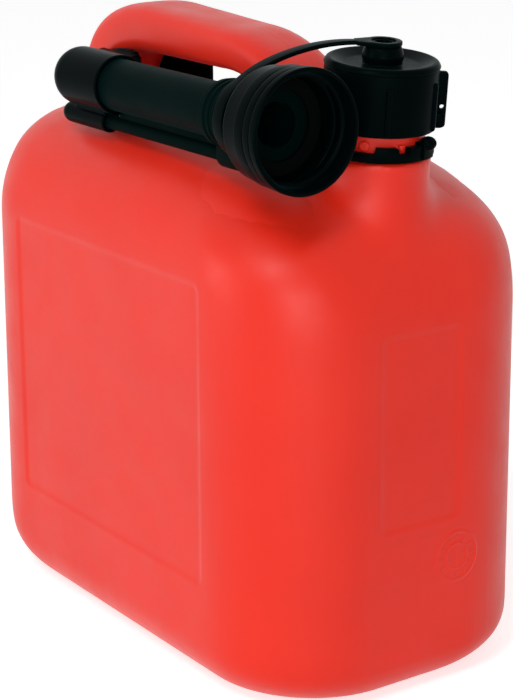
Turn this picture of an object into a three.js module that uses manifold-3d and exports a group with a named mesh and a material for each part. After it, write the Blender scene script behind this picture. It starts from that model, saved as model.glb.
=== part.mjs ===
// Five-litre plastic fuel can: screw cap, child-lock ring, and a pouring spout stowed beside the handle.
// Millimetres, +Z up. The origin is on the floor under the middle of the can.
// +X points to the filler neck, and the spout lies along the -Y side of the handle.

import * as THREE from 'three';
import { mergeVertices } from 'three/addons/utils/BufferGeometryUtils.js';
import Module from 'manifold-3d';

const wasm = await Module();
wasm.setup();

// Can: overall sizes
const CAN_LENGTH = 250;          // at the foot, where the can is longest
const CAN_WIDTH = 146;
const CAN_HEIGHT = 265;          // floor to the top of the handle
const WALL = 2.2;
const END_LEAN = 0.01;           // each narrow end leans in by this much per millimetre of height
const CORNER_RADIUS = 48;        // plan corners
const SIDE_FOOT = 22;            // edges round the bottom
const REAR_FOOT = 32;
const FRONT_FOOT = 17;
const DECK_DROP = 47;            // top of the handle down to the deck under the hand hole
const SIDE_SHOULDER = 46;        // shoulder radius above the wide faces
const REAR_SHOULDER = 18;
const FRONT_SHOULDER = 64;
const CORNER_SHRINK = 0.2;       // how fast the plan corners tighten over the shoulder
const BASE_RECESS = 2;
const BASE_CORNER = 12;
const BASE_RIM = 18;             // width of the flat rim that the can stands on

// Moulded fields on the faces
const PANEL_LENGTH = 149;
const PANEL_BOTTOM = 46;
const PANEL_TOP = 175;
const PANEL_DEPTH = 0.9;
const PLATE_WIDTH = 43;
const PLATE_BOTTOM = 72;
const PLATE_TOP = 156;
const PLATE_DEPTH = 0.7;
const FIELD_CORNER = 5;

// Handle
const HANDLE_WIDTH = 34;
const HANDLE_THICKNESS = 21.5;
const HANDLE_SOFTNESS = 0.56;    // 1 would make the section an ellipse, 0 a rectangle
const HANDLE_REAR_INSET = 11.3;  // outer face of the rear leg, in from the top of the rear end
const HANDLE_ROOT = 18;          // feet of the centre line below the deck
const HANDLE_BEND_START = 6;     // legs straight up to this height above the deck
const HANDLE_BEND_SHOULDER = 12; // how early a leg starts to turn below the bar
const HANDLE_FRONT_GAP = 1.6;    // front leg to the circle that the cap lug sweeps
const REAR_BEND = 44;            // reach of the two bends along the bar
const FRONT_BEND = 50;
const REAR_EASE = 1 / 3;          // share of a bend's reach before it levels out
const FRONT_EASE = 1 / 2;
const REAR_LEAN = 2;             // foot of each leg, out from the leg's top
const FRONT_LEAN = 1;
const BAR_FALL = 3.2;            // front end of the bar below its rear end
const FLARE_LENGTH = 20;         // each foot of the handle widens over this length
const FLARE_WIDTH = 5;
const FLARE_THICKNESS = 6;

// Filler neck, in its own frame: heights run along the neck axis from its foot on the deck
const NECK_SETBACK = 31.7;       // neck foot, back from the top of the front end
const NECK_TILT = THREE.MathUtils.degToRad(5);
const NECK_DROP = 4.5;           // neck foot below the deck
const NECK_RADIUS = 18.8;
const NECK_WALL = 2.2;
const CONE_SPREAD = 8.7;         // cone beyond the neck at its bottom
const SEAT_WIDTH = 2.8;          // ledge beyond the neck that the lock ring sits on
const CONE_DEPTH = 30;           // how far the cone reaches down into the shoulder
const RING_SEAT = 8.6;
const STUD_RADIUS = 2;           // lock stops on the bare neck
const STUD_ANGLE = THREE.MathUtils.degToRad(-53);
const TOOTH_RADIUS = 1.5;
const TOOTH_ANGLE = THREE.MathUtils.degToRad(-9.5);
const STOP_REACH = 1.2;

// Child-lock ring and its pawl
const RING_HEIGHT = 5.9;         // at the raised guards
const RING_BASE = 3.4;           // everywhere else
const RING_THICKNESS = 3.6;
const GUARD_START = THREE.MathUtils.degToRad(-41);
const GUARD_END = THREE.MathUtils.degToRad(-15);
const PAWL_WIDTH = 7;
const PAWL_ANGLE = THREE.MathUtils.degToRad(22);
const PAWL_GUARD = THREE.MathUtils.degToRad(26);  // raised this far to each side of the pawl
const PAWL_TRAVEL = 2.4;
const PAWL_REACH = 3.4;          // thumb pad beyond the ring
const PAWL_PAD_RADIUS = 2.8;
const PAWL_PAD_WIDTH = 6.9;
const PAWL_EYE_RADIUS = 0.7;
const PAWL_EYE_RISE = 0.8;       // small eye above the middle of the pad
const PAWL_STEM_RISE = 1.2;      // stem above the ring
const SLOT_FLOOR = 1;            // ring left under the pawl's slot

// Cap
const CAP_GAP = 4;               // bare neck between the ring's guards and the skirt
const CAP_HEIGHT = 26.8;
const CAP_WALL = 2.4;
const CAP_THREAD_ROOM = 1.4;     // radial room for the screw thread
const CAP_DISH = 2.2;            // middle of the top below its rim
const CAP_TOP_THICKNESS = 1.6;
const RIM_HEIGHT = 2.4;          // rounded rim at the top of the skirt
const RIM_STEP = 0.3;            // rim beyond the skirt
const RIM_WIDTH = 2;             // side of the rim to its crest
const DISH_SLOPE = 6;            // width of the slope from the crest down to the dish
const RIB_COUNT = 6;
const RIB_WIDTH = 2.6;
const RIB_REACH = 1.1;
const RIB_FROM_TOP = 6.9;        // rib ends, from the top and the bottom of the cap
const RIB_FROM_BOTTOM = 0.6;
const LUG_REACH = 3.6;
const LUG_THICKNESS = 2.6;
const LUG_ANGLE = THREE.MathUtils.degToRad(57);
const LUG_HEIGHT = 22.3;
const LUG_CORNER = 1.6;
const LUG_HOLE_RADIUS = 0.9;
const LUG_FOOT_HEIGHT = 6.5;     // the lug is thicker at its foot
const LUG_FOOT_THICKNESS = 6.5;
const LUG_FOOT_CORNER = 2.2;
const KNOB_BASE_RADIUS = 7.6;    // barrel knob
const KNOB_RADIUS = 8.4;
const KNOB_TOP_RADIUS = 7.1;
const KNOB_HEIGHT = 7;
const POST_RADIUS = 4.5;
const POST_WALL = 0.9;
const POST_DEPTH = 3;
const POST_SINK = 0.6;           // end of the post below the top of the eyelet
const GASKET_THICKNESS = 1.7;
const GASKET_WIDTH = 5.2;

// Strap between the cap and the spout
const STRAP_WIDTH = 6.3;
const STRAP_THICKNESS = 1.7;
const STRAP_RIM = 2.5;           // eyelet and ring, beyond what they go round
const STRAP_TAB = 4;             // straight stub where the band leaves the eyelet or the ring
const STRAP_BULGE = 0.42;        // how far the band carries on from the eyelet before it bends
const RING_BULGE = 0.2;          // the same from the ring
const STRAP_ROOM = 4;            // strap ring to the back of the collar
const STRAP_AIM = THREE.MathUtils.degToRad(26);       // eyelet stub, turned from -Y towards -X
const RING_TAB_ANGLE = THREE.MathUtils.degToRad(30);  // ring stub, rising towards the cap
const EYELET_TAPER = THREE.MathUtils.degToRad(50);    // eyelet narrows to the band from here on

// Spout, along X
const COLLAR_THREAD_ROOM = 2.7;  // neck to the inside of the collar
const COLLAR_GAP = 0.5;          // collar to the circle that the cap lug sweeps
const COLLAR_LENGTH = 29.4;
const COLLAR_WALL = 2.8;
const COLLAR_LIP = 1.2;          // the mouth opens by this much over its lead-in
const COLLAR_LEAD = 4;
const BAND_LENGTHS = [6.2, 4.5, 3.9];
const BAND_STEP = 0.3;
const GROOVE_DEPTH = 0.8;
const GROOVE_WIDTH = 0.8;
const SPOUT_RISE = 20;           // spout axis above the deck
const TUBE_RADIUS = 11;
const TUBE_WALL = 2;
const TUBE_LENGTH = 109.7;       // tip to the ribbed grip
const GRIP_LENGTH = 14;
const GRIP_STEP = 2.3;           // grip beyond the tube
const GRIP_RIBS = 3;
const GRIP_RIB_HEIGHT = 0.5;
const GRIP_RIB_WIDTH = 2;
const FLANGE_THICKNESS = 2.5;
const FLANGE_OVERLAP = 0.5;      // flange and seal beyond the neck rim that they press on
const FLANGE_SETBACK = 7;        // flange, ahead of the back of the collar
const COLLAR_BACK = 4;           // width of the collar's flat back
const VENT_SPACING = 5.8;        // vent tube axis below the underside of the tube
const VENT_RADIUS = 3;
const VENT_BORE = 1.8;
const VENT_BOSS_WALL = 1.6;
const VENT_SEAT = 10;            // depth of the hole in the vent tube's boss
const VENT_STOP = 1;             // on both sides of the passage from the vent tube into the spout
const VENT_NOSE = 6;             // rounded end of the vent tube's socket
const VENT_LONGER = 8;           // vent tip runs this far beyond the spout tip

// Holder clipped on the rear leg of the handle
const SOCKET_DEPTH = 31;
const SOCKET_WALL = 1.4;
const SOCKET_NOSE = 12;          // rounded end beyond the socket floor
const SOCKET_AHEAD = 94;         // mouth of the big socket, ahead of the rear face of the leg
const CLIP_WALL = 3.3;
const CLIP_BOTTOM = 5;           // lower edge above the deck
const CLIP_HEIGHT = 11;
const CHEEK_HEIGHT = 20;         // the cheeks are taller ahead of the leg
const CHEEK_LENGTH = 32;
const CLIP_LENGTH = 60;          // rear face of the leg to the front of the cheeks
const CLIP_CORNER = 6;
const CLIP_BEAD = 1.7;           // round beads that snap in front of the leg
const BEAD_HEIGHT = 4;
const ARM_LENGTH = 30;
const ARM_HEIGHT = 14;
const ARM_TOP = 5.5;             // above the spout axis
const ARM_REAR = 27.5;           // rear edge at the clip, ahead of the rear face of the leg
const ARM_SLANT = 20;            // how far it leads forward from the clip to the socket

// Running and seating clearances
const CLEARANCE = 0.3;
const TURN_CLEARANCE = 0.4;

// Small chamfer on turned edges, and how far cutting bodies and joined bodies run past a face
const EDGE = 0.6;
const OVERRUN = 1;

// Facets
const ROUND = 32;
const FINE_ROUND = 24;
const SMALL_ROUND = 14;
const CURVE_STEPS = 6;
const HANDLE_SIDES = 20;
const HANDLE_STATIONS = 34;
const HOLLOW_SIDES = 12;
const HOLLOW_STATIONS = 24;
const STRAP_STEPS = 14;
const CORNER_STEPS = 7;
const FOOT_STEPS = 6;
const CONE_STEPS = 4;
const SHOULDER_STEPS = 11;
const SMALLEST_CORNER = 4;
const WELD = 1e-4;

// Places that follow from the sizes above
const deckZ = CAN_HEIGHT - DECK_DROP;
const topLength = CAN_LENGTH - 2 * END_LEAN * deckZ;
const neckFoot = new THREE.Vector3(topLength / 2 - NECK_SETBACK, 0, deckZ - NECK_DROP);
const neckBore = NECK_RADIUS - NECK_WALL;
const coneBottomRadius = NECK_RADIUS + CONE_SPREAD;
const coneTopRadius = NECK_RADIUS + SEAT_WIDTH;
const ringOuter = NECK_RADIUS + CLEARANCE + RING_THICKNESS;
const ringTop = RING_SEAT + CLEARANCE + RING_HEIGHT;
const ringBaseTop = RING_SEAT + CLEARANCE + RING_BASE;
const slotZ = RING_SEAT + CLEARANCE + SLOT_FLOOR;
const skirtBottom = ringTop + CAP_GAP;
const capInner = NECK_RADIUS + CAP_THREAD_ROOM;
const capOuter = capInner + CAP_WALL;
const capTop = skirtBottom + CAP_HEIGHT;
const capFloor = capTop - CAP_DISH;
const capCeiling = capFloor - CAP_TOP_THICKNESS;
const neckTop = capCeiling - GASKET_THICKNESS - 2 * CLEARANCE;
const lugRadius = capOuter + LUG_REACH;
const knobTop = capFloor + KNOB_HEIGHT;
const eyeletBottom = knobTop + CLEARANCE;
const eyeletTop = eyeletBottom + STRAP_THICKNESS;
const eyeletRadius = POST_RADIUS + CLEARANCE + STRAP_RIM;

const legRearX = -topLength / 2 + HANDLE_REAR_INSET;
const barZ = CAN_HEIGHT - HANDLE_THICKNESS / 2;

const cupRadius = NECK_RADIUS + COLLAR_THREAD_ROOM;
const collarRadius = cupRadius + COLLAR_WALL;
const gripRadius = TUBE_RADIUS + GRIP_STEP;
const ventDrop = TUBE_RADIUS + VENT_SPACING;
const spoutY = -(lugRadius + COLLAR_GAP + collarRadius);
const spoutZ = deckZ + SPOUT_RISE;
const socketMouthX = legRearX + SOCKET_AHEAD;
const tipX = socketMouthX - SOCKET_DEPTH + CLEARANCE;
const gripX = tipX + TUBE_LENGTH;
const passageX = gripX + VENT_SEAT - VENT_STOP - VENT_BORE;
const ringX = gripX + GRIP_LENGTH + CLEARANCE;
const collarRearX = ringX + STRAP_WIDTH + STRAP_ROOM;
const mouthX = collarRearX + COLLAR_LENGTH;
const flangeX = collarRearX + FLANGE_SETBACK;
const flangeRadius = NECK_RADIUS + FLANGE_OVERLAP;
const strapRingRadius = gripRadius + CLEARANCE + STRAP_RIM;
const ringTabInner = strapRingRadius - STRAP_THICKNESS;
const ringTab = Math.sqrt((strapRingRadius + CLEARANCE) ** 2 - ringTabInner ** 2);

// Finishes
const red = { color: 0xe03a2c, roughness: 0.45, metalness: 0 };
const black = { color: 0x0b1414, roughness: 0.38, metalness: 0 };
const matteBlack = { color: 0x10181a, roughness: 0.6, metalness: 0 };
const rubber = { color: 0x1a1a1a, roughness: 0.85, metalness: 0 };

// A closed geometry as a solid that can be joined and cut
function solid(geometry) {
  const bare = geometry.clone();
  bare.deleteAttribute('normal');
  bare.deleteAttribute('uv');
  const welded = mergeVertices(bare, WELD);
  const corners = welded.index.array;
  const triangles = [];
  for (let i = 0; i < corners.length; i += 3) {
    const [a, b, c] = [corners[i], corners[i + 1], corners[i + 2]];
    if (a !== b && b !== c && c !== a) triangles.push(a, b, c);
  }
  const vertProperties = Float32Array.from(welded.attributes.position.array);
  const build = (list) =>
    new wasm.Manifold(new wasm.Mesh({ numProp: 3, vertProperties, triVerts: Uint32Array.from(list) }));
  const body = build(triangles);
  return body.volume() > 0 ? body : build(triangles.reverse());
}

// A solid back as a geometry
function geometryOf(body) {
  const { vertProperties, triVerts } = body.getMesh();
  const geometry = new THREE.BufferGeometry();
  geometry.setAttribute('position', new THREE.BufferAttribute(Float32Array.from(vertProperties), 3));
  geometry.setIndex(Array.from(triVerts));
  geometry.computeVertexNormals();
  return geometry;
}

function part(name, body, finish) {
  const mesh = new THREE.Mesh(geometryOf(body), new THREE.MeshStandardMaterial(finish));
  mesh.name = name;
  return mesh;
}

// Profiles are [radius, distance along the axis]
function lathe(profile, segments) {
  return new THREE.LatheGeometry(profile.map(([r, h]) => new THREE.Vector2(r, h)), segments);
}

function revolveZ(profile, segments = ROUND) {
  return solid(lathe(profile, segments).rotateX(Math.PI / 2));
}

function revolveX(profile, segments = ROUND) {
  return solid(lathe(profile, segments).rotateZ(-Math.PI / 2));
}

// A ring whose section is a closed outline that stays clear of the axis
const closed = (outline) => [...outline, outline[0]];

const ringOutline = (inner, outer, low, high) =>
  closed([[inner, low], [outer, low], [outer, high], [inner, high]]);

// A skin through a stack of loops with equal point counts, closed by a fan at each end
function loft(loops) {
  const count = loops[0].length;
  const positions = loops.flat();
  const index = [];
  for (let k = 0; k + 1 < loops.length; k += 1) {
    for (let i = 0; i < count; i += 1) {
      const a = k * count + i;
      const b = k * count + ((i + 1) % count);
      index.push(a, b, b + count, a, b + count, a + count);
    }
  }
  const addEnd = (start, flip) => {
    const loop = positions.slice(start, start + count);
    const middle = loop.reduce((sum, p) => sum.add(p), new THREE.Vector3()).divideScalar(count);
    const centre = positions.push(middle) - 1;
    for (let i = 0; i < count; i += 1) {
      const a = start + i;
      const b = start + ((i + 1) % count);
      index.push(centre, flip ? b : a, flip ? a : b);
    }
  };
  addEnd(0, true);
  addEnd((loops.length - 1) * count, false);
  const geometry = new THREE.BufferGeometry().setFromPoints(positions);
  geometry.setIndex(index);
  return solid(geometry);
}

// A rounded bar: an outline with round corners, drawn in two axes and extruded along the third
function roundedOutline(x0, y0, x1, y1, radius) {
  const shape = new THREE.Shape();
  shape.moveTo(x0 + radius, y0);
  shape.absarc(x1 - radius, y0 + radius, radius, -Math.PI / 2, 0);
  shape.absarc(x1 - radius, y1 - radius, radius, 0, Math.PI / 2);
  shape.absarc(x0 + radius, y1 - radius, radius, Math.PI / 2, Math.PI);
  shape.absarc(x0 + radius, y0 + radius, radius, Math.PI, 1.5 * Math.PI);
  return shape;
}

function extrude(shape, depth, curveSegments = CURVE_STEPS) {
  return new THREE.ExtrudeGeometry(shape, { depth, curveSegments, bevelEnabled: false });
}

const range = (count) => Array.from({ length: count }, (_, i) => i);
const quarter = (steps) => range(steps + 1).map((i) => (i / steps) * (Math.PI / 2));

// How far a quarter round of this radius has come in at a height above its start
function roundInset(radius, climb) {
  const c = THREE.MathUtils.clamp(climb, 0, radius);
  return radius - Math.sqrt(radius * radius - c * c);
}

// One level of the tank: a rectangle from -rear to front with round corners
function tankLoop(z, rear, front, half, rearCorner, frontCorner) {
  const corners = [
    [front - frontCorner, half - frontCorner, frontCorner, 0],
    [-rear + rearCorner, half - rearCorner, rearCorner, 1],
    [-rear + rearCorner, -half + rearCorner, rearCorner, 2],
    [front - frontCorner, -half + frontCorner, frontCorner, 3],
  ];
  return corners.flatMap(([x, y, radius, turn]) => quarter(CORNER_STEPS).map((angle) => {
    const a = angle + (turn * Math.PI) / 2;
    return new THREE.Vector3(x + radius * Math.cos(a), y + radius * Math.sin(a), z);
  }));
}

// The tank, drawn in by an offset all round: 0 is the outside, the wall is the inside
function tank(offset, floorZ) {
  const ceiling = deckZ - offset;
  const tallestFoot = Math.max(SIDE_FOOT, REAR_FOOT, FRONT_FOOT) - offset;
  const tallest = Math.max(SIDE_SHOULDER, REAR_SHOULDER, FRONT_SHOULDER) - offset;
  const footLevels = quarter(FOOT_STEPS).map((a) => floorZ + tallestFoot * (1 - Math.cos(a)));
  const shoulderLevels = quarter(SHOULDER_STEPS).map((a) => ceiling - tallest * (1 - Math.sin(a)));
  return loft([...footLevels, ...shoulderLevels].map((z) => {
    const inset = (foot, shoulder) => roundInset(foot - offset, floorZ + foot - offset - z)
      + roundInset(shoulder - offset, z - (ceiling - shoulder + offset));
    const side = inset(SIDE_FOOT, SIDE_SHOULDER);
    const rear = inset(REAR_FOOT, REAR_SHOULDER);
    const front = inset(FRONT_FOOT, FRONT_SHOULDER);
    const end = CAN_LENGTH / 2 - offset - END_LEAN * z;
    const half = CAN_WIDTH / 2 - offset - side;
    const corner = (inwards) => THREE.MathUtils.clamp(
      CORNER_RADIUS - offset - CORNER_SHRINK * Math.max(inwards, side), SMALLEST_CORNER, half - OVERRUN);
    return tankLoop(z, end - rear, end - front, half, corner(rear), corner(front));
  }));
}

// Centre line of the handle, from one foot inside the tank to the other
function handlePath() {
  const rearX = legRearX + HANDLE_THICKNESS / 2;
  const frontX = neckFoot.x - lugRadius - HANDLE_FRONT_GAP - HANDLE_THICKNESS / 2;
  const footZ = deckZ - HANDLE_ROOT;
  const bendZ = deckZ + HANDLE_BEND_START;
  const frontZ = barZ - BAR_FALL;
  const at = (x, z) => new THREE.Vector3(x, 0, z);
  const rearTop = at(rearX, bendZ);
  const barRear = at(rearX + REAR_BEND, barZ);
  const barFront = at(frontX - FRONT_BEND, frontZ);
  const frontTop = at(frontX, bendZ);
  const path = new THREE.CurvePath();
  path.add(new THREE.LineCurve3(at(rearX - REAR_LEAN, footZ), rearTop));
  path.add(new THREE.CubicBezierCurve3(rearTop, at(rearX + REAR_LEAN / 2, barZ - HANDLE_BEND_SHOULDER),
    at(rearX + REAR_BEND * REAR_EASE, barZ), barRear));
  path.add(new THREE.LineCurve3(barRear, barFront));
  path.add(new THREE.CubicBezierCurve3(barFront, at(frontX - FRONT_BEND * FRONT_EASE, frontZ),
    at(frontX - 2 * FRONT_LEAN, frontZ - HANDLE_BEND_SHOULDER), frontTop));
  path.add(new THREE.LineCurve3(frontTop, at(frontX + FRONT_LEAN, footZ)));
  return path;
}

// The handle bar: a soft-cornered section swept along the centre line, wider at its feet
function handle(offset, sides, stations) {
  const path = handlePath();
  const length = path.getLength();
  return loft(range(stations + 1).map((k) => {
    const u = k / stations;
    const centre = path.getPointAt(u);
    const along = path.getTangentAt(u);
    const outward = new THREE.Vector3(-along.z, 0, along.x);
    const fromFoot = Math.min(u, 1 - u) * length;
    const flare = Math.max(0, 1 - fromFoot / FLARE_LENGTH) ** 2;
    const halfWidth = HANDLE_WIDTH / 2 + FLARE_WIDTH * flare - offset;
    const halfThick = HANDLE_THICKNESS / 2 + FLARE_THICKNESS * flare - offset;
    return range(sides).map((i) => {
      const a = (2 * Math.PI * i) / sides;
      const y = halfWidth * Math.sign(Math.cos(a)) * Math.abs(Math.cos(a)) ** HANDLE_SOFTNESS;
      const t = halfThick * Math.sign(Math.sin(a)) * Math.abs(Math.sin(a)) ** HANDLE_SOFTNESS;
      return centre.clone().addScaledVector(outward, t).setY(y);
    });
  }));
}

// From the neck frame to the can frame
const neckPlace = new THREE.Matrix4()
  .makeTranslation(neckFoot)
  .multiply(new THREE.Matrix4().makeRotationY(NECK_TILT));

function neckGeometry(profile) {
  return solid(lathe(profile, ROUND).rotateX(Math.PI / 2).applyMatrix4(neckPlace));
}

// Lock stops on the bare neck: a round stud and a ratchet tooth
function neckStops() {
  const middle = ringBaseTop + CLEARANCE + STUD_RADIUS;
  const stop = (radius, sides, angle) => solid(
    new THREE.CylinderGeometry(radius, radius, 2 * STOP_REACH, sides)
      .rotateZ(Math.PI / 2)
      .translate(NECK_RADIUS, 0, middle)
      .rotateZ(angle)
      .applyMatrix4(neckPlace));
  return stop(STUD_RADIUS, SMALL_ROUND, STUD_ANGLE).add(stop(TOOTH_RADIUS, 3, TOOTH_ANGLE));
}

// Shallow fields sunk into the wide faces and the front end
function sunkFields() {
  const panel = roundedOutline(-PANEL_LENGTH / 2, PANEL_BOTTOM, PANEL_LENGTH / 2, PANEL_TOP, FIELD_CORNER);
  const cut = extrude(panel, 2 * PANEL_DEPTH).rotateX(Math.PI / 2);
  const near = solid(cut.clone().translate(0, -CAN_WIDTH / 2 + PANEL_DEPTH, 0));
  const far = solid(cut.clone().translate(0, CAN_WIDTH / 2 + PANEL_DEPTH, 0));
  const plate = roundedOutline(-PLATE_WIDTH / 2, PLATE_BOTTOM, PLATE_WIDTH / 2, PLATE_TOP, FIELD_CORNER);
  const front = extrude(plate, 2 * PLATE_DEPTH)
    .rotateX(Math.PI / 2)
    .rotateZ(Math.PI / 2)
    .translate(-PLATE_DEPTH, 0, 0)
    .rotateY(-Math.atan(END_LEAN))
    .translate(CAN_LENGTH / 2, 0, 0);
  return near.add(far).add(solid(front));
}

function canBody() {
  const flare = range(CONE_STEPS + 1).map((i) => i / CONE_STEPS).map((t) => [
    THREE.MathUtils.lerp(coneBottomRadius, coneTopRadius, 1 - (1 - t) ** 2),
    THREE.MathUtils.lerp(-CONE_DEPTH, RING_SEAT, t),
  ]);
  const inside = flare.map(([radius, height]) => [radius - coneTopRadius + neckBore, height]);
  const cone = neckGeometry([[0, -CONE_DEPTH], ...flare,
    [NECK_RADIUS, RING_SEAT], [NECK_RADIUS, neckTop], [0, neckTop]]);
  const bore = neckGeometry([[0, -CONE_DEPTH], ...inside, [neckBore, neckTop + OVERRUN],
    [0, neckTop + OVERRUN]]);
  const halfWidth = CAN_WIDTH / 2 - SIDE_FOOT - BASE_RIM;
  const foot = roundedOutline(-CAN_LENGTH / 2 + REAR_FOOT + BASE_RIM, -halfWidth,
    CAN_LENGTH / 2 - FRONT_FOOT - BASE_RIM, halfWidth, BASE_CORNER);
  const recess = solid(extrude(foot, 2 * BASE_RECESS).translate(0, 0, -BASE_RECESS));
  const hollow = tank(WALL, BASE_RECESS + WALL)
    .add(handle(WALL, HOLLOW_SIDES, HOLLOW_STATIONS))
    .add(bore);
  return tank(0, 0)
    .add(handle(0, HANDLE_SIDES, HANDLE_STATIONS))
    .add(cone)
    .add(neckStops())
    .subtract(hollow)
    .subtract(recess)
    .subtract(sunkFields());
}

// A pie slice about the Z axis, from one angle and height to another
function slice(radius, from, to, low, high) {
  const outline = new THREE.Shape();
  outline.moveTo(0, 0);
  outline.absarc(0, 0, radius, from, to);
  return solid(extrude(outline, high - low, FINE_ROUND).translate(0, 0, low));
}

// Child-lock ring round the foot of the neck: two raised guards, one of them slotted for the pawl
function lockRing() {
  const inner = NECK_RADIUS + CLEARANCE;
  const low = RING_SEAT + CLEARANCE;
  const ring = revolveZ(closed([[inner, low], [ringOuter - EDGE, low], [ringOuter, low + EDGE],
    [ringOuter, ringTop - EDGE], [ringOuter - EDGE, ringTop], [inner, ringTop]]));
  const lower = (from, to) => slice(2 * ringOuter, from, to, ringBaseTop, ringTop + OVERRUN);
  const slot = new THREE.BoxGeometry(4 * RING_THICKNESS, PAWL_WIDTH + 2 * CLEARANCE, RING_HEIGHT)
    .translate(ringOuter, 0, slotZ + RING_HEIGHT / 2)
    .rotateZ(PAWL_ANGLE);
  return ring
    .subtract(lower(GUARD_END, PAWL_ANGLE - PAWL_GUARD))
    .subtract(lower(PAWL_ANGLE + PAWL_GUARD, GUARD_START + 2 * Math.PI))
    .subtract(solid(slot));
}

// The springy pawl in the ring's slot, with its round thumb pad
function lockPawl() {
  const low = slotZ + PAWL_TRAVEL + CLEARANCE;
  const padZ = low + PAWL_PAD_RADIUS;
  const stemInner = NECK_RADIUS + CLEARANCE;
  const height = ringTop + PAWL_STEM_RISE - low;
  const arc = revolveZ(ringOutline(stemInner, ringOuter + EDGE, low, low + height));
  const keep = new THREE.BoxGeometry(ringOuter, PAWL_WIDTH, 2 * height).translate(ringOuter, 0, low);
  const pad = new THREE.SphereGeometry(PAWL_PAD_RADIUS, SMALL_ROUND, SMALL_ROUND)
    .scale(PAWL_REACH / PAWL_PAD_RADIUS, PAWL_PAD_WIDTH / (2 * PAWL_PAD_RADIUS), 1)
    .translate(ringOuter, 0, padZ);
  const beyondNeck = new THREE.BoxGeometry(ringOuter, ringOuter, ringOuter)
    .translate(stemInner + OVERRUN + ringOuter / 2, 0, padZ);
  const eye = new THREE.CylinderGeometry(PAWL_EYE_RADIUS, PAWL_EYE_RADIUS, PAWL_REACH, SMALL_ROUND)
    .rotateZ(Math.PI / 2)
    .translate(ringOuter + PAWL_REACH, 0, padZ + PAWL_EYE_RISE);
  return arc.intersect(solid(keep))
    .add(solid(pad).intersect(solid(beyondNeck)))
    .subtract(solid(eye))
    .rotate([0, 0, THREE.MathUtils.radToDeg(PAWL_ANGLE)]);
}

// One upright plate on the side of the cap, standing out to a radius
function lugPlate(radius, height, thickness, corner) {
  const outline = roundedOutline(capOuter - corner, skirtBottom, radius, skirtBottom + height, corner);
  return solid(extrude(outline, thickness)
    .rotateX(Math.PI / 2)
    .translate(0, thickness / 2, 0)
    .rotateZ(LUG_ANGLE));
}

// Side lug with a thicker foot and a small eye above it
function capLug() {
  const footRadius = Math.sqrt(lugRadius ** 2 - (LUG_FOOT_THICKNESS / 2) ** 2);
  const eye = new THREE.CylinderGeometry(LUG_HOLE_RADIUS, LUG_HOLE_RADIUS, 2 * LUG_THICKNESS, SMALL_ROUND)
    .translate(capOuter + LUG_REACH / 2, 0, skirtBottom + LUG_FOOT_HEIGHT + 2 * LUG_HOLE_RADIUS)
    .rotateZ(LUG_ANGLE);
  return lugPlate(lugRadius, LUG_HEIGHT, LUG_THICKNESS, LUG_CORNER)
    .subtract(solid(eye))
    .add(lugPlate(footRadius, LUG_FOOT_HEIGHT, LUG_FOOT_THICKNESS, LUG_FOOT_CORNER));
}

// Screw cap: rounded rim, dished top, barrel knob, hollow strap post, grip ribs and side lug
function capShell() {
  const rimBottom = capTop - RIM_HEIGHT;
  const crest = capOuter - RIM_WIDTH;
  const postTop = eyeletTop - POST_SINK;
  const postBore = POST_RADIUS - POST_WALL;
  const inside = [[0, capCeiling], [capInner, capCeiling], [capInner, skirtBottom]];
  const skirt = [[capOuter - EDGE, skirtBottom], [capOuter, skirtBottom + EDGE],
    [capOuter, rimBottom - RIM_STEP]];
  const rim = [[capOuter + RIM_STEP, rimBottom], [capOuter + RIM_STEP, capTop - RIM_WIDTH],
    [capOuter - EDGE, capTop - EDGE], [crest, capTop], [crest - DISH_SLOPE, capFloor]];
  const knob = [[KNOB_BASE_RADIUS, capFloor], [KNOB_RADIUS, capFloor + KNOB_HEIGHT / 2],
    [KNOB_TOP_RADIUS, knobTop]];
  const post = [[POST_RADIUS, knobTop], [POST_RADIUS, postTop], [postBore, postTop],
    [postBore, knobTop - POST_DEPTH], [0, knobTop - POST_DEPTH]];
  const shell = revolveZ([...inside, ...skirt, ...rim, ...knob, ...post]);
  const ribLength = CAP_HEIGHT - RIB_FROM_TOP - RIB_FROM_BOTTOM;
  const ribs = range(RIB_COUNT).map((i) => solid(
    new THREE.CapsuleGeometry(RIB_WIDTH / 2, ribLength - RIB_WIDTH, 2, CURVE_STEPS)
      .rotateX(Math.PI / 2)
      .translate(capOuter + RIB_REACH - RIB_WIDTH / 2, 0, skirtBottom + RIB_FROM_BOTTOM + ribLength / 2)
      .rotateZ(((i - 0.5) * 2 * Math.PI) / RIB_COUNT)));
  return ribs.reduce((body, rib) => body.add(rib), shell).add(capLug());
}

function capGasket() {
  const high = capCeiling - CLEARANCE;
  const outer = capInner - CLEARANCE;
  return revolveZ(ringOutline(outer - GASKET_WIDTH, outer, high - GASKET_THICKNESS, high));
}

// End of the strap that goes round the post on the cap, narrowing to the band on the spout's side
function strapEyelet() {
  const tip = -(eyeletRadius + STRAP_TAB);
  const outline = new THREE.Shape();
  outline.absarc(0, 0, eyeletRadius, EYELET_TAPER - Math.PI / 2, 1.5 * Math.PI - EYELET_TAPER);
  outline.lineTo(-STRAP_WIDTH / 2, tip);
  outline.lineTo(STRAP_WIDTH / 2, tip);
  outline.holes.push(new THREE.Path().absarc(0, 0, POST_RADIUS + CLEARANCE, 0, 2 * Math.PI));
  return solid(extrude(outline, STRAP_THICKNESS, FINE_ROUND)
    .translate(0, 0, eyeletBottom)
    .rotateZ(-STRAP_AIM));
}

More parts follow.
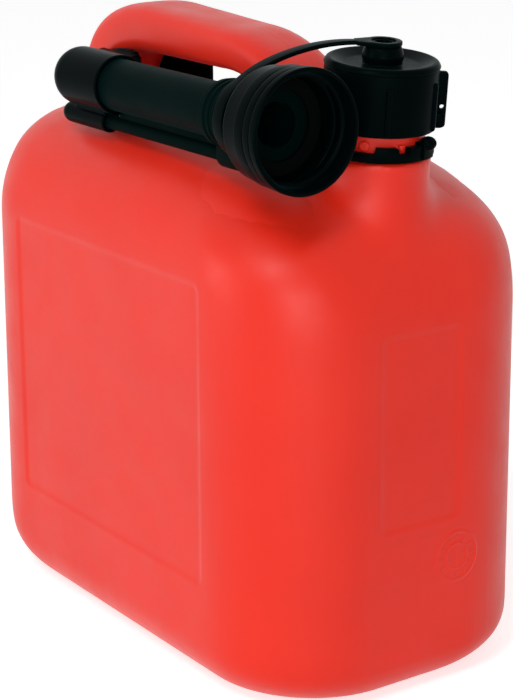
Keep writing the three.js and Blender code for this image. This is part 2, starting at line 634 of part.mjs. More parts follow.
// End of the strap that goes round the spout, with a stub along its tangent
function strapRing() {
  const hole = gripRadius + CLEARANCE;
  const ring = revolveX(ringOutline(hole, strapRingRadius, ringX, ringX + STRAP_WIDTH));
  const stub = new THREE.BoxGeometry(STRAP_WIDTH, ringTab, STRAP_THICKNESS)
    .translate(ringX + STRAP_WIDTH / 2, ringTab / 2, strapRingRadius - STRAP_THICKNESS / 2)
    .rotateX(RING_TAB_ANGLE);
  return ring.add(solid(stub));
}

// The free band between the two stubs, its flat side up, in the can frame
function strapBand() {
  const middle = (eyeletBottom + eyeletTop) / 2;
  const fromEyelet = new THREE.Vector3(-Math.sin(STRAP_AIM), -Math.cos(STRAP_AIM), 0);
  const start = fromEyelet.clone()
    .multiplyScalar(eyeletRadius + STRAP_TAB + CLEARANCE)
    .setZ(middle)
    .applyMatrix4(neckPlace);
  fromEyelet.transformDirection(neckPlace);
  const toRing = new THREE.Vector3(0, -Math.cos(RING_TAB_ANGLE), -Math.sin(RING_TAB_ANGLE));
  const end = new THREE.Vector3(0, ringTab + CLEARANCE, strapRingRadius - STRAP_THICKNESS / 2)
    .applyAxisAngle(new THREE.Vector3(1, 0, 0), RING_TAB_ANGLE)
    .add(new THREE.Vector3(ringX + STRAP_WIDTH / 2, spoutY, spoutZ));
  const span = start.distanceTo(end);
  const pastEyelet = start.clone().addScaledVector(fromEyelet, span * STRAP_BULGE);
  const beforeRing = end.clone().addScaledVector(toRing, -span * RING_BULGE);
  const curve = new THREE.CubicBezierCurve3(start, pastEyelet, beforeRing, end);
  return loft(range(STRAP_STEPS + 1).map((k) => {
    const centre = curve.getPoint(k / STRAP_STEPS);
    const along = curve.getTangent(k / STRAP_STEPS);
    const across = new THREE.Vector3(1, 0, 0).addScaledVector(along, -along.x).normalize();
    const up = across.clone().cross(along);
    const corners = [[-1, -1], [1, -1], [1, 1], [-1, 1]];
    return corners.map(([w, t]) => centre.clone()
      .addScaledVector(across, (w * STRAP_WIDTH) / 2)
      .addScaledVector(up, (t * STRAP_THICKNESS) / 2));
  }));
}

// Pouring tube with its ribbed grip, strap seat, flange and the boss that takes the vent tube
function spoutTube() {
  const bore = TUBE_RADIUS - TUBE_WALL;
  const ribPitch = GRIP_LENGTH / (GRIP_RIBS + 1);
  const ribs = range(GRIP_RIBS).flatMap((i) => {
    const x = gripX + ribPitch * (i + 1);
    const crest = gripRadius + GRIP_RIB_HEIGHT;
    return [[gripRadius, x - GRIP_RIB_WIDTH / 2], [crest, x - GRIP_RIB_WIDTH / 4],
      [crest, x + GRIP_RIB_WIDTH / 4], [gripRadius, x + GRIP_RIB_WIDTH / 2]];
  });
  const barrel = revolveX(closed([[bore, tipX], [TUBE_RADIUS - EDGE, tipX], [TUBE_RADIUS, tipX + EDGE],
    [TUBE_RADIUS, gripX], [gripRadius - EDGE, gripX], [gripRadius, gripX + EDGE], ...ribs,
    [gripRadius, flangeX], [flangeRadius, flangeX], [flangeRadius, flangeX + FLANGE_THICKNESS],
    [bore, flangeX + FLANGE_THICKNESS]]));
  const bossRadius = VENT_RADIUS + CLEARANCE + VENT_BOSS_WALL;
  const outline = new THREE.Shape();
  outline.absarc(0, -ventDrop, bossRadius, Math.PI, 2 * Math.PI);
  outline.lineTo(bossRadius, -bore - OVERRUN);
  outline.lineTo(-bossRadius, -bore - OVERRUN);
  const boss = extrude(outline, GRIP_LENGTH)
    .rotateX(Math.PI / 2)
    .rotateZ(Math.PI / 2)
    .translate(gripX, 0, 0);
  const seatRadius = VENT_RADIUS + CLEARANCE;
  const seat = new THREE.CylinderGeometry(seatRadius, seatRadius, 2 * VENT_SEAT, FINE_ROUND)
    .rotateZ(Math.PI / 2)
    .translate(gripX, 0, -ventDrop);
  const passage = new THREE.CylinderGeometry(VENT_BORE, VENT_BORE, ventDrop, SMALL_ROUND)
    .rotateX(Math.PI / 2)
    .translate(passageX, 0, -ventDrop / 2);
  return barrel.add(solid(boss)).subtract(solid(seat)).subtract(solid(passage));
}

function ventTube() {
  const start = tipX - VENT_LONGER;
  const end = passageX - VENT_BORE - VENT_STOP - CLEARANCE;
  return revolveX(ringOutline(VENT_BORE, VENT_RADIUS, start, end), FINE_ROUND);
}

// Union nut: a cup with a tapered back, banded outside, that turns behind the tube's flange
function spoutCollar() {
  const hole = gripRadius + TURN_CLEARANCE;
  const floorX = flangeX - TURN_CLEARANCE;
  const floorRadius = flangeRadius + TURN_CLEARANCE;
  const bandsX = mouthX - BAND_LENGTHS.reduce((sum, length) => sum + length, 0);
  let x = bandsX;
  let radius = collarRadius - BAND_STEP * (BAND_LENGTHS.length - 1);
  const bands = [];
  BAND_LENGTHS.forEach((length, i) => {
    const last = i === BAND_LENGTHS.length - 1;
    bands.push([radius - GROOVE_DEPTH, x], [radius, x + GROOVE_WIDTH / 2]);
    bands.push([radius, x + length - (last ? EDGE : GROOVE_WIDTH / 2)]);
    bands.push([radius - GROOVE_DEPTH, x + length]);
    x += length;
    radius += BAND_STEP;
  });
  const back = [[hole, collarRearX], [hole + COLLAR_BACK, collarRearX], [floorRadius + COLLAR_WALL, floorX]];
  const cup = [[cupRadius + COLLAR_LIP, mouthX], [cupRadius, mouthX - COLLAR_LEAD], [cupRadius, bandsX],
    [floorRadius, floorX], [hole, floorX]];
  return revolveX(closed([...back, ...bands, ...cup]));
}

function collarGasket() {
  const start = flangeX + FLANGE_THICKNESS + CLEARANCE;
  return revolveX(ringOutline(flangeRadius - GASKET_WIDTH, flangeRadius, start, start + GASKET_THICKNESS));
}

// A blind socket with a rounded nose, mouth towards +X
function socket(inner, mouth, floor, nose) {
  const outer = inner + SOCKET_WALL;
  const dome = quarter(CURVE_STEPS).map((a) => [outer * Math.cos(a), floor - nose * Math.sin(a)]);
  return {
    outside: revolveX([[0, mouth], [outer, mouth], ...dome]),
    inside: revolveX([[0, floor], [inner, floor], [inner, mouth + OVERRUN], [0, mouth + OVERRUN]]),
  };
}

// Spout holder: a U-shaped clip round the rear leg, an arm, and two sockets for the tube tips
function spoutHolder() {
  const half = HANDLE_WIDTH / 2 + CLEARANCE;
  const outer = half + CLIP_WALL;
  const back = legRearX - CLEARANCE;
  const front = legRearX + CLIP_LENGTH;
  const bendX = back - CLIP_WALL + CLIP_CORNER;
  const outline = new THREE.Shape();
  outline.moveTo(front, -outer);
  outline.lineTo(front, -half);
  outline.lineTo(back, -half);
  outline.lineTo(back, half);
  outline.lineTo(front, half);
  outline.lineTo(front, outer);
  outline.lineTo(bendX, outer);
  outline.absarc(bendX, outer - CLIP_CORNER, CLIP_CORNER, Math.PI / 2, Math.PI);
  outline.absarc(bendX, -outer + CLIP_CORNER, CLIP_CORNER, Math.PI, 1.5 * Math.PI);
  const clipZ = deckZ + CLIP_BOTTOM;
  const clip = solid(extrude(outline, CLIP_HEIGHT).translate(0, 0, clipZ));
  const cheeks = [-outer + CLIP_WALL / 2, outer - CLIP_WALL / 2].map((y) => solid(
    new THREE.BoxGeometry(CHEEK_LENGTH, CLIP_WALL, CHEEK_HEIGHT)
      .translate(front - CHEEK_LENGTH / 2, y, clipZ + CHEEK_HEIGHT / 2)));
  const beads = [-half, half].map((y) => solid(
    new THREE.CylinderGeometry(CLIP_BEAD, CLIP_BEAD, BEAD_HEIGHT, FINE_ROUND)
      .rotateX(Math.PI / 2)
      .translate(legRearX + HANDLE_THICKNESS, y, clipZ + BEAD_HEIGHT / 2)));
  const big = socket(TUBE_RADIUS + CLEARANCE, socketMouthX, tipX - CLEARANCE, SOCKET_NOSE);
  const small = socket(VENT_RADIUS + CLEARANCE, socketMouthX - VENT_LONGER,
    tipX - VENT_LONGER - CLEARANCE, VENT_NOSE);
  const armX = legRearX + ARM_REAR;
  const armPlan = new THREE.Shape();
  armPlan.moveTo(armX, -outer + OVERRUN);
  armPlan.lineTo(armX, -outer);
  armPlan.lineTo(armX + ARM_SLANT, spoutY);
  armPlan.lineTo(armX + ARM_SLANT + ARM_LENGTH, spoutY);
  armPlan.lineTo(armX + ARM_LENGTH, -outer);
  armPlan.lineTo(armX + ARM_LENGTH, -outer + OVERRUN);
  const arm = solid(extrude(armPlan, ARM_HEIGHT).translate(0, 0, spoutZ + ARM_TOP - ARM_HEIGHT));
  const place = (body) => body.translate([0, spoutY, spoutZ]);
  const drop = (body) => body.translate([0, spoutY, spoutZ - ventDrop]);
  return [...cheeks, ...beads, arm, place(big.outside), drop(small.outside)]
    .reduce((body, piece) => body.add(piece), clip)
    .subtract(place(big.inside))
    .subtract(drop(small.inside));
}

// Everything on the neck, in the tilted neck frame
const neck = new THREE.Group();
neck.position.copy(neckFoot);
neck.rotation.y = NECK_TILT;
neck.add(
  part('lock_ring', lockRing(), black),
  part('lock_pawl', lockPawl(), black),
  part('cap_shell', capShell(), black),
  part('cap_gasket', capGasket(), rubber),
  part('strap_eyelet', strapEyelet(), black),
);

// Everything on the spout, along its own axis
const spout = new THREE.Group();
spout.position.set(0, spoutY, spoutZ);
const vent = part('vent_tube', ventTube(), black);
vent.position.z = -ventDrop;
spout.add(
  part('spout_tube', spoutTube(), matteBlack),
  vent,
  part('spout_collar', spoutCollar(), black),
  part('collar_gasket', collarGasket(), rubber),
  part('strap_ring', strapRing(), black),
);

const fuelCan = new THREE.Group();
fuelCan.add(
  part('can_body', canBody(), red),
  part('spout_holder', spoutHolder(), black),
  part('strap_band', strapBand(), black),
  neck,
  spout,
);

export default fuelCan;
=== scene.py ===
"""Looks of the fuel can: soft moulded body, screw threads, strap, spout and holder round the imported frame."""

import math

import bmesh
import bpy
import numpy as np
from mathutils import Matrix, Vector


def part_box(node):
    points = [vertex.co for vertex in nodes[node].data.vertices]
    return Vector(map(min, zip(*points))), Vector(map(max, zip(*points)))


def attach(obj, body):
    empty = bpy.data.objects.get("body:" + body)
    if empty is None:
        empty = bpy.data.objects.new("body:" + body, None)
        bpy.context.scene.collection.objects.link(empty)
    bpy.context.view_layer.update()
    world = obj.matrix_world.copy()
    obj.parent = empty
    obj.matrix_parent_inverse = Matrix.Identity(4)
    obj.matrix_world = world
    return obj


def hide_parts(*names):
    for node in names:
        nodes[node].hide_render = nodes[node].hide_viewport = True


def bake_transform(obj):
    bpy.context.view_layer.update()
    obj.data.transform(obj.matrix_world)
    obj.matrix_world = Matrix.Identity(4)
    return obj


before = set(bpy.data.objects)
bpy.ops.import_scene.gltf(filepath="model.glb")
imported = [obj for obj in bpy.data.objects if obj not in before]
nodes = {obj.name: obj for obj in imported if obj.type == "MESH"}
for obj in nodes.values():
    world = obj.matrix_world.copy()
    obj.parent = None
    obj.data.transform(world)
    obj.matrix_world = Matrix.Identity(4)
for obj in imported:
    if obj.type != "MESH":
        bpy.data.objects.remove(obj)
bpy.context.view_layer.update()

# All sizes are millimetres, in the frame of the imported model
MM = 0.001

# Tank
CAN_LENGTH, CAN_WIDTH, CAN_HEIGHT = 250, 146, 265
END_LEAN = 0.01
CORNER_RADIUS, CORNER_SHRINK, SMALLEST_CORNER = 48, 0.2, 4
SIDE_FOOT, REAR_FOOT, FRONT_FOOT = 22, 32, 17
SIDE_SHOULDER, REAR_SHOULDER, FRONT_SHOULDER = 46, 18, 64
DECK_Z = 218
WALL = 2.2
BASE_RECESS, BASE_CORNER, BASE_RIM = 2, 12, 18

# Moulded fields
PANEL_HALF, PANEL_BOTTOM, PANEL_TOP, PANEL_DEPTH = 74.5, 46, 175, 0.6
PLATE_HALF, PLATE_BOTTOM, PLATE_TOP, PLATE_DEPTH = 21.5, 72, 156, 0.55
FIELD_CORNER, FIELD_SLOPE = 5, 3.6
DIAL_Y, DIAL_Z, DIAL_RADIUS, DIAL_INNER = 19, 56, 10.5, 5.5
DIAL_RIM, DIAL_RIM_HEIGHT, DIAL_HUB, DIAL_HUB_HEIGHT = 1.1, 0.5, 0.9, 0.45
TICK_COUNT, TICK_WIDTH, TICK_HEIGHT, TICK_GAP = 12, 0.16, 0.35, 1.4
POINTER_WIDTH, POINTER_HEIGHT, POINTER_GAP = 0.8, 0.4, 0.6
SEAM_WIDTH, SEAM_HEIGHT = 0.9, 0.05
FIELD_MARGIN, BASE_MARGIN, DIAL_MARGIN, SEAM_MARGIN = 4, 3, 3, 2.4

# Fineness of the skins
BODY_VOXEL, PAWL_VOXEL, HOLDER_VOXEL = 1.5, 0.22, 0.55
FOOT_ROUNDS, NECK_ROUNDS, EVEN_ROUNDS, PAWL_ROUNDS = 90, 220, 6, 4

# Handle
HANDLE_WIDTH, HANDLE_THICKNESS, HANDLE_SOFTNESS = 34, 21.5, 0.56
HANDLE_ROOT = 18
HANDLE_BEND_START, HANDLE_BEND_SHOULDER, HANDLE_FRONT_GAP = 6, 12, 1.6
REAR_BEND, FRONT_BEND, BAR_FALL = 44, 50, 3.2
FLARE_LENGTH, FLARE_WIDTH, FLARE_THICKNESS = 20, 5, 6
BAR_SWELL, BAR_THINNING, BAR_ENDS, BAR_START, BAR_FADE = 1.2, 4.0, (-70, 20), 14, 12
FOOT_REACH, FOOT_MIDDLE, FOOT_HALF, FOOT_FADE, FOOT_EDGE, FOOT_EDGE_FADE = 9, -3, 16, 10, 1.35, 0.3

# Neck, ring and cap, in heights along the neck axis
NECK_SETBACK, NECK_DROP, NECK_TILT = 31.7, 4.5, math.radians(5)
NECK_RADIUS, NECK_BORE = 18.8, 16.6
CONE_BOTTOM, CONE_TOP, CONE_DEPTH, RING_SEAT = 27.5, 21.6, 30, 8.6
NECK_BLEND, NECK_BLEND_REACH, NECK_BLEND_FADE = 0.4, 26, 16
NECK_BLEND_TOP, NECK_BLEND_TOP_FADE, NECK_BLEND_DEPTH, NECK_BLEND_LOW_FADE = 5.5, 4, 46, 12
FRONT_FALL, FALL_X, FALL_Y, FALL_Z = 3.6, (5, 60), (4, 44), (175, 38)
STUD_ANGLE, STUD_RADIUS, TOOTH_ANGLE, TOOTH_RADIUS, STOP_REACH, STOP_HEIGHT = -53, 2, -9.5, 1.7, 1.2, 14.6
RING_LOW, RING_BASE, RING_TOP, RING_INNER, RING_OUTER = 8.9, 12.3, 14.8, 19.1, 22.7
GUARD_MIDDLE, GUARD_HALF, PAWL_ANGLE, PAWL_GUARD, PAWL_SLOT, SLOT_FLOOR = -28, 13, 22, 26, 7.6, 1
APRON_GAP, APRON_WALL = 0.25, 0.7
SKIRT, CAP_TOP, CAP_FLOOR, CAP_CEILING, NECK_TOP = 18.8, 45.6, 43.4, 41.8, 39.5
CAP_INNER, CAP_OUTER, RIM_HEIGHT, RIM_STEP, RIM_WIDTH, DISH_SLOPE = 20.2, 22.6, 2.4, 0.3, 2, 6
RIB_COUNT, RIB_WIDTH, RIB_REACH, RIB_FROM_TOP, RIB_FROM_BOTTOM = 6, 2.6, 1.1, 6.9, 0.6
LUG_RADIUS, LUG_ANGLE, LUG_THICKNESS, LUG_HEIGHT, LUG_CORNER, LUG_HOLE = 26.2, 57, 2.6, 22.3, 1.6, 0.9
LUG_FOOT_HEIGHT, LUG_FOOT_THICKNESS, LUG_FOOT_CORNER = 6.5, 6.5, 2.2
KNOB_BASE_RADIUS, KNOB_RADIUS, KNOB_TOP_RADIUS, KNOB_TOP = 7.6, 8.4, 7.1, 50.4
POST_RADIUS, POST_BORE, POST_FLOOR, POST_TOP = 4.5, 3.6, 47.4, 51.8
THREAD_PITCH = 5.6

# Strap; the shares of its length are counted from the cap
STRAP_WIDTH, STRAP_THICKNESS, STRAP_TAB, STRAP_RIM = 6.3, 1.7, 4, 2.5
EYELET_LOW, EYELET_TOP, EYELET_HOLE, EYELET_RADIUS = 50.7, 52.4, 4.8, 7.3
STRAP_AIM, EYELET_TAPER, RING_TAB_ANGLE = (math.radians(a) for a in (26, 50, 30))
STRAP_BULGE, RING_BULGE = 0.42, 0.2
PAST_RIM, HALVES_MEET, BLEND_MARGIN = 0.19, 0.6, 2

# Spout, along X
SPOUT_Y, SPOUT_Z = -51.0, 238
TIP_X, GRIP_X, GRIP_LENGTH, STRAP_RING_X = -48.2, 61.5, 14, 75.8
TUBE_RADIUS, TUBE_BORE, GRIP_RADIUS = 11, 9, 13.3
GRIP_RIBS, GRIP_RIB_HEIGHT = 3, 0.5
COLLAR_X, FLANGE_X, FLANGE_RADIUS, FLANGE_THICKNESS, MOUTH_X = 86.1, 93.1, 19.3, 2.5, 115.5
COLLAR_RADIUS, CUP_RADIUS, COLLAR_WALL, COLLAR_LIP, COLLAR_LEAD, COLLAR_BACK = 24.3, 21.5, 2.8, 1.2, 4, 4
BAND_LENGTHS, BAND_STEP, GROOVE_DEPTH, GROOVE_WIDTH = (6.2, 4.5, 3.9), 0.3, 0.8, 0.8
VENT_DROP, VENT_RADIUS, VENT_BORE, VENT_SEAT, VENT_BOSS = 16.8, 3, 1.8, 10, 4.9
VENT_LONGER = 8
# Thin black web between the pouring tube and the air tube: a joining web that is also painted shade, blackening
# the gap that the tube shades from above
SHADE_WEB_THICKNESS, SHADE_WEB_GAP = 1.6, 0.2
CLEARANCE, TURN_CLEARANCE = 0.3, 0.4

# Holder
SOCKET_MOUTH, SOCKET_WALL, SOCKET_NOSE, VENT_NOSE = -17.5, 1.4, 12, 6
LEG_REAR_X = -111.5
CLIP_WALL, CLIP_BOTTOM, CLIP_HEIGHT, CLIP_LENGTH, CLIP_CORNER = 3.3, 5, 11, 57.5, 6
CHEEK_HEIGHT, CHEEK_FLAT, CHEEK_CORNER = 22, 18, 7
ARM_LENGTH, ARM_HEIGHT, ARM_TOP, ARM_REAR, ARM_SLANT = 30, 14, 5.5, 27.5, 20

TOP_LENGTH = CAN_LENGTH - 2 * END_LEAN * DECK_Z
NECK_X, NECK_Z = TOP_LENGTH / 2 - NECK_SETBACK, DECK_Z - NECK_DROP
NECK = Matrix.Translation((NECK_X, 0, NECK_Z)) @ Matrix.Rotation(NECK_TILT, 4, "Y")
ALONG_X = Matrix.Rotation(math.pi / 2, 4, "Y")
SPOUT = Matrix.Translation((0, SPOUT_Y, SPOUT_Z))
VENT = Matrix.Translation((0, SPOUT_Y, SPOUT_Z - VENT_DROP))


# Forms are pairs of points and faces

def moved(form, matrix):
    points, faces = form
    m = np.array(matrix)
    return np.asarray(points) @ m[:3, :3].T + m[:3, 3], faces


def joined(*forms):
    points, faces, start = [], [], 0
    for p, f in forms:
        points.append(np.asarray(p, float))
        faces += [tuple(i + start for i in face) for face in f]
        start += len(p)
    return np.vstack(points), faces


def grid_faces(rows, columns, wrap_rows=False, wrap_columns=True):
    faces = []
    for k in range(rows if wrap_rows else rows - 1):
        below, above = k * columns, ((k + 1) % rows) * columns
        for i in range(columns if wrap_columns else columns - 1):
            j = (i + 1) % columns
            faces.append((below + i, below + j, above + j, above + i))
    return faces


def loft(loops):
    """A closed skin through a stack of loops of equal counts."""
    count = len(loops[0])
    faces = grid_faces(len(loops), count)
    faces.append(tuple(reversed(range(count))))
    faces.append(tuple(range((len(loops) - 1) * count, len(loops) * count)))
    return np.vstack(loops), faces


def soften(points, radius, closed=False, steps=3):
    """Rounds the corners of a line of points."""
    points = [np.array(p, float) for p in points]
    out = []
    for i, p in enumerate(points):
        if not closed and i in (0, len(points) - 1):
            out.append(p)
            continue
        before, after = points[i - 1] - p, points[(i + 1) % len(points)] - p
        reach = min(radius, 0.45 * np.linalg.norm(before), 0.45 * np.linalg.norm(after))
        a = p + before / np.linalg.norm(before) * reach
        b = p + after / np.linalg.norm(after) * reach
        for t in np.linspace(0, 1, steps + 1):
            out.append((1 - t) ** 2 * a + 2 * t * (1 - t) * p + t * t * b)
    return out


def lathe(profile, closed, radius=0.4, turns=96):
    """A profile of radius and height turned round Z; a closed one is a ring."""
    line = soften(profile, radius, closed)
    angles = np.linspace(0, 2 * math.pi, turns, endpoint=False)
    rings = [np.column_stack((r * np.cos(angles), r * np.sin(angles), np.full(turns, h))) for r, h in line]
    faces = grid_faces(len(rings), turns, wrap_rows=closed)
    return np.vstack(rings), faces


def ring_profile(inner, outer, low, high):
    return [(inner, low), (outer, low), (outer, high), (inner, high)]


def thread(radius, height, start, turns, width, steps=56):
    """A rounded right-hand screw ridge on a cylinder, fading out at both ends.

    A negative height points inwards.
    """
    section = [(-0.3 * np.sign(height), -0.5), (0.75 * height, -0.28), (height, -0.1),
               (height, 0.1), (0.75 * height, 0.28), (-0.3 * np.sign(height), 0.5)]
    total = int(turns * steps)
    loops = []
    for k in range(total + 1):
        a = 2 * math.pi * k / steps
        fade = min(1, 5 * k / total, 5 * (total - k) / total)
        z = start + THREAD_PITCH * k / steps
        loop = []
        for out, along in section:
            r = radius + (out * fade if out * height > 0 else out)
            loop.append((r * math.cos(a), r * math.sin(a), z + along * width))
        loops.append(np.array(loop))
    return loft(loops)


def plate(outlines, low, high, bevel):
    """A flat piece cut to an outline, holes included, with rounded edges; the outline lies in XY."""
    curve = bpy.data.curves.new("outline", "CURVE")
    curve.dimensions, curve.fill_mode = "2D", "BOTH"
    curve.extrude = ((high - low) / 2 - bevel) * MM
    curve.bevel_depth, curve.bevel_resolution, curve.offset = bevel * MM, 2, -bevel * MM
    for outline in outlines:
        spline = curve.splines.new("POLY")
        spline.points.add(len(outline) - 1)
        for point, (x, y) in zip(spline.points, outline):
            point.co = (x * MM, y * MM, 0, 1)
        spline.use_cyclic_u = True
    obj = bpy.data.objects.new("outline", curve)
    bpy.context.scene.collection.objects.link(obj)
    mesh = obj.to_mesh()
    points = np.array([v.co for v in mesh.vertices]) / MM + (0, 0, (low + high) / 2)
    faces = [tuple(p.vertices) for p in mesh.polygons]
    obj.to_mesh_clear()
    bpy.data.objects.remove(obj)
    bpy.data.curves.remove(curve)
    return points, faces


def round_hole(x, y, radius, count=24):
    angles = np.linspace(0, 2 * math.pi, count, endpoint=False)
    return [(x + radius * math.cos(a), y + radius * math.sin(a)) for a in angles]


def rectangle(x0, y0, x1, y1, radius, steps=5):
    return soften([(x0, y0), (x1, y0), (x1, y1), (x0, y1)], radius, closed=True, steps=steps)


# Objects from forms

def mesh_of(name, form):
    points, faces = form
    mesh = bpy.data.meshes.new(name)
    mesh.from_pydata((np.asarray(points) * MM).tolist(), [], faces)
    mesh.validate()
    return mesh


def new_object(name, mesh):
    obj = bpy.data.objects.new(name, mesh)
    bpy.context.scene.collection.objects.link(obj)
    return obj


def fused(name, form, voxel):
    """One even skin round all the solids of a form."""
    obj = new_object(name, mesh_of(name, form))
    remesh = obj.modifiers.new("skin", "REMESH")
    remesh.mode, remesh.voxel_size = "VOXEL", voxel * MM
    evaluated = obj.evaluated_get(bpy.context.evaluated_depsgraph_get())
    mesh = bpy.data.meshes.new_from_object(evaluated)
    obj.modifiers.clear()
    obj.data = mesh
    return obj


def points_of(mesh):
    flat = np.zeros(len(mesh.vertices) * 3)
    mesh.vertices.foreach_get("co", flat)
    return flat.reshape(-1, 3) / MM


def set_points(mesh, points):
    mesh.vertices.foreach_set("co", (points * MM).ravel())
    mesh.update()


def normals_of(mesh):
    flat = np.zeros(len(mesh.vertices) * 3, np.float32)
    mesh.vertex_normals.foreach_get("vector", flat)
    return flat.reshape(-1, 3).astype(float)


def relax(mesh, weights, rounds, keep_volume=False):
    """Smooths points towards their neighbours, each by its own weight."""
    edges = np.zeros(len(mesh.edges) * 2, np.int32)
    mesh.edges.foreach_get("vertices", edges)
    a, b = edges.reshape(-1, 2).T
    points = points_of(mesh)
    count = np.bincount(np.concatenate((a, b)), minlength=len(points))[:, None]
    for k in range(rounds):
        total = np.column_stack([np.bincount(a, points[b, i], len(points))
                                 + np.bincount(b, points[a, i], len(points)) for i in range(3)])
        push = -0.52 if keep_volume and k % 2 else 0.5
        points += push * weights[:, None] * (total / count - points)
    set_points(mesh, points)


def refine(mesh, near, rounds):
    """Splits the faces near a line of detail, so that it can be pressed into them."""
    for _ in range(rounds):
        bm = bmesh.new()
        bm.from_mesh(mesh)
        close = near(points_of(mesh))
        bm.verts.ensure_lookup_table()
        picked = [e for e in bm.edges if close[e.verts[0].index] and close[e.verts[1].index]]
        bmesh.ops.subdivide_edges(bm, edges=picked, cuts=1, use_grid_fill=True)
        bm.to_mesh(mesh)
        bm.free()


def finish_piece(obj, body, slot, material, *stands_for, sharp=50):
    mesh = obj.data
    bm = bmesh.new()
    bm.from_mesh(mesh)
    bmesh.ops.remove_doubles(bm, verts=bm.verts, dist=1e-6)
    bmesh.ops.recalc_face_normals(bm, faces=bm.faces)
    bm.to_mesh(mesh)
    bm.free()
    mesh.shade_smooth()
    mesh.set_sharp_from_angle(angle=math.radians(sharp))
    mesh.materials.clear()
    mesh.materials.append(material)
    if body:
        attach(obj, body)
    if stands_for:
        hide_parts(*stands_for)
    return obj


def piece(name, form, body, slot, material, *stands_for, sharp=50):
    return finish_piece(new_object(name, mesh_of(name, form)), body, slot, material, *stands_for, sharp=sharp)


# Materials

def node(tree, kind, **sockets):
    made = tree.nodes.new(kind)
    for name, value in sockets.items():
        made.inputs[name.replace("_", " ")].default_value = value
    return made


def moulded(name, light, dark, rough, grain, wave, **constants):
    """Moulded plastic: blotchy colour, uneven gloss, fine grain and a slow waviness of the wall."""
    material = bpy.data.materials.new(name)
    material.use_nodes = True
    tree = material.node_tree
    shader = tree.nodes["Principled BSDF"]
    for socket, value in constants.items():
        shader.inputs[socket.replace("_", " ")].default_value = value
    place = tree.nodes.new("ShaderNodeTexCoord").outputs["Object"]

    blotch = node(tree, "ShaderNodeTexNoise", Scale=14, Detail=5, Roughness=0.6)
    tint = tree.nodes.new("ShaderNodeValToRGB")
    tint.color_ramp.elements[0].position, tint.color_ramp.elements[0].color = 0.3, (*dark, 1)
    tint.color_ramp.elements[1].position, tint.color_ramp.elements[1].color = 0.7, (*light, 1)
    gloss = node(tree, "ShaderNodeTexNoise", Scale=60, Detail=6, Roughness=0.65)
    spread = node(tree, "ShaderNodeMapRange", From_Min=0.3, From_Max=0.7, To_Min=rough[0], To_Max=rough[1])
    fine = node(tree, "ShaderNodeTexNoise", Scale=2200, Detail=2, Roughness=0.5)
    slow = node(tree, "ShaderNodeTexNoise", Scale=30, Detail=1, Roughness=0.4)
    slow_bump = node(tree, "ShaderNodeBump", Strength=wave, Distance=0.0012)
    fine_bump = node(tree, "ShaderNodeBump", Strength=grain, Distance=0.0001)

    for noise in (blotch, gloss, fine, slow):
        tree.links.new(place, noise.inputs["Vector"])
    tree.links.new(blotch.outputs["Fac"], tint.inputs["Fac"])
    tree.links.new(tint.outputs["Color"], shader.inputs["Base Color"])
    tree.links.new(gloss.outputs["Fac"], spread.inputs["Value"])
    tree.links.new(spread.outputs["Result"], shader.inputs["Roughness"])
    tree.links.new(slow.outputs["Fac"], slow_bump.inputs["Height"])
    tree.links.new(fine.outputs["Fac"], fine_bump.inputs["Height"])
    tree.links.new(slow_bump.outputs["Normal"], fine_bump.inputs["Normal"])
    tree.links.new(fine_bump.outputs["Normal"], shader.inputs["Normal"])
    return material


TEAL_GLOSS, TEAL_SHEEN = (0.7, 1, 1, 1), (0.15, 0.9, 1, 1)
red = moulded("red_moulded", (0.82, 0.022, 0.006), (0.76, 0.017, 0.004), (0.36, 0.48), 0.2, 0.06,
              Specular_IOR_Level=0.36, Sheen_Weight=0.04, Sheen_Roughness=0.4,
              Subsurface_Weight=0.05, Subsurface_Scale=0.004)
black = moulded("black_moulded", (0.0006, 0.0026, 0.0026), (0.0003, 0.0014, 0.0014), (0.26, 0.36), 0.2, 0.05,
                Specular_IOR_Level=0.012, Specular_Tint=TEAL_GLOSS, Sheen_Weight=0.03, Sheen_Roughness=0.3,
                Sheen_Tint=TEAL_SHEEN)
matte = moulded("matte_black", (0.0006, 0.0056, 0.0048), (0.0004, 0.0042, 0.0036), (0.42, 0.54), 0.45, 0.05,
                Specular_IOR_Level=0.007, Specular_Tint=TEAL_GLOSS, Sheen_Weight=0.02, Sheen_Roughness=0.3,
                Sheen_Tint=TEAL_SHEEN)
soft = moulded("strap_black", (0.0008, 0.0030, 0.0030), (0.0004, 0.0018, 0.0018), (0.3, 0.42), 0.25, 0.06,
               Specular_IOR_Level=0.014, Specular_Tint=TEAL_GLOSS, Sheen_Weight=0.03, Sheen_Roughness=0.3,
               Sheen_Tint=TEAL_SHEEN)
rubber = moulded("seal_rubber", (0.0024, 0.0030, 0.0030), (0.0014, 0.0018, 0.0018), (0.7, 0.85), 0.6, 0.1,
                 Specular_IOR_Level=0.02)


# Can body: tank, handle and neck cone as one soft skin

def round_inset(radius, climb):
    c = min(max(climb, 0), radius)
    return radius - math.sqrt(radius * radius - c * c)


def tank_loop(z, rear, front, half, rear_corner, front_corner, steps=18):
    corners = [(front - front_corner, half - front_corner, front_corner),
               (-rear + rear_corner, half - rear_corner, rear_corner),
               (-rear + rear_corner, -half + rear_corner, rear_corner),
               (front - front_corner, -half + front_corner, front_corner)]
    loop = []
    for turn, (x, y, radius) in enumerate(corners):
        for a in np.linspace(0, math.pi / 2, steps + 1) + turn * math.pi / 2:
            loop.append((x + radius * math.cos(a), y + radius * math.sin(a), z))
    return np.array(loop)


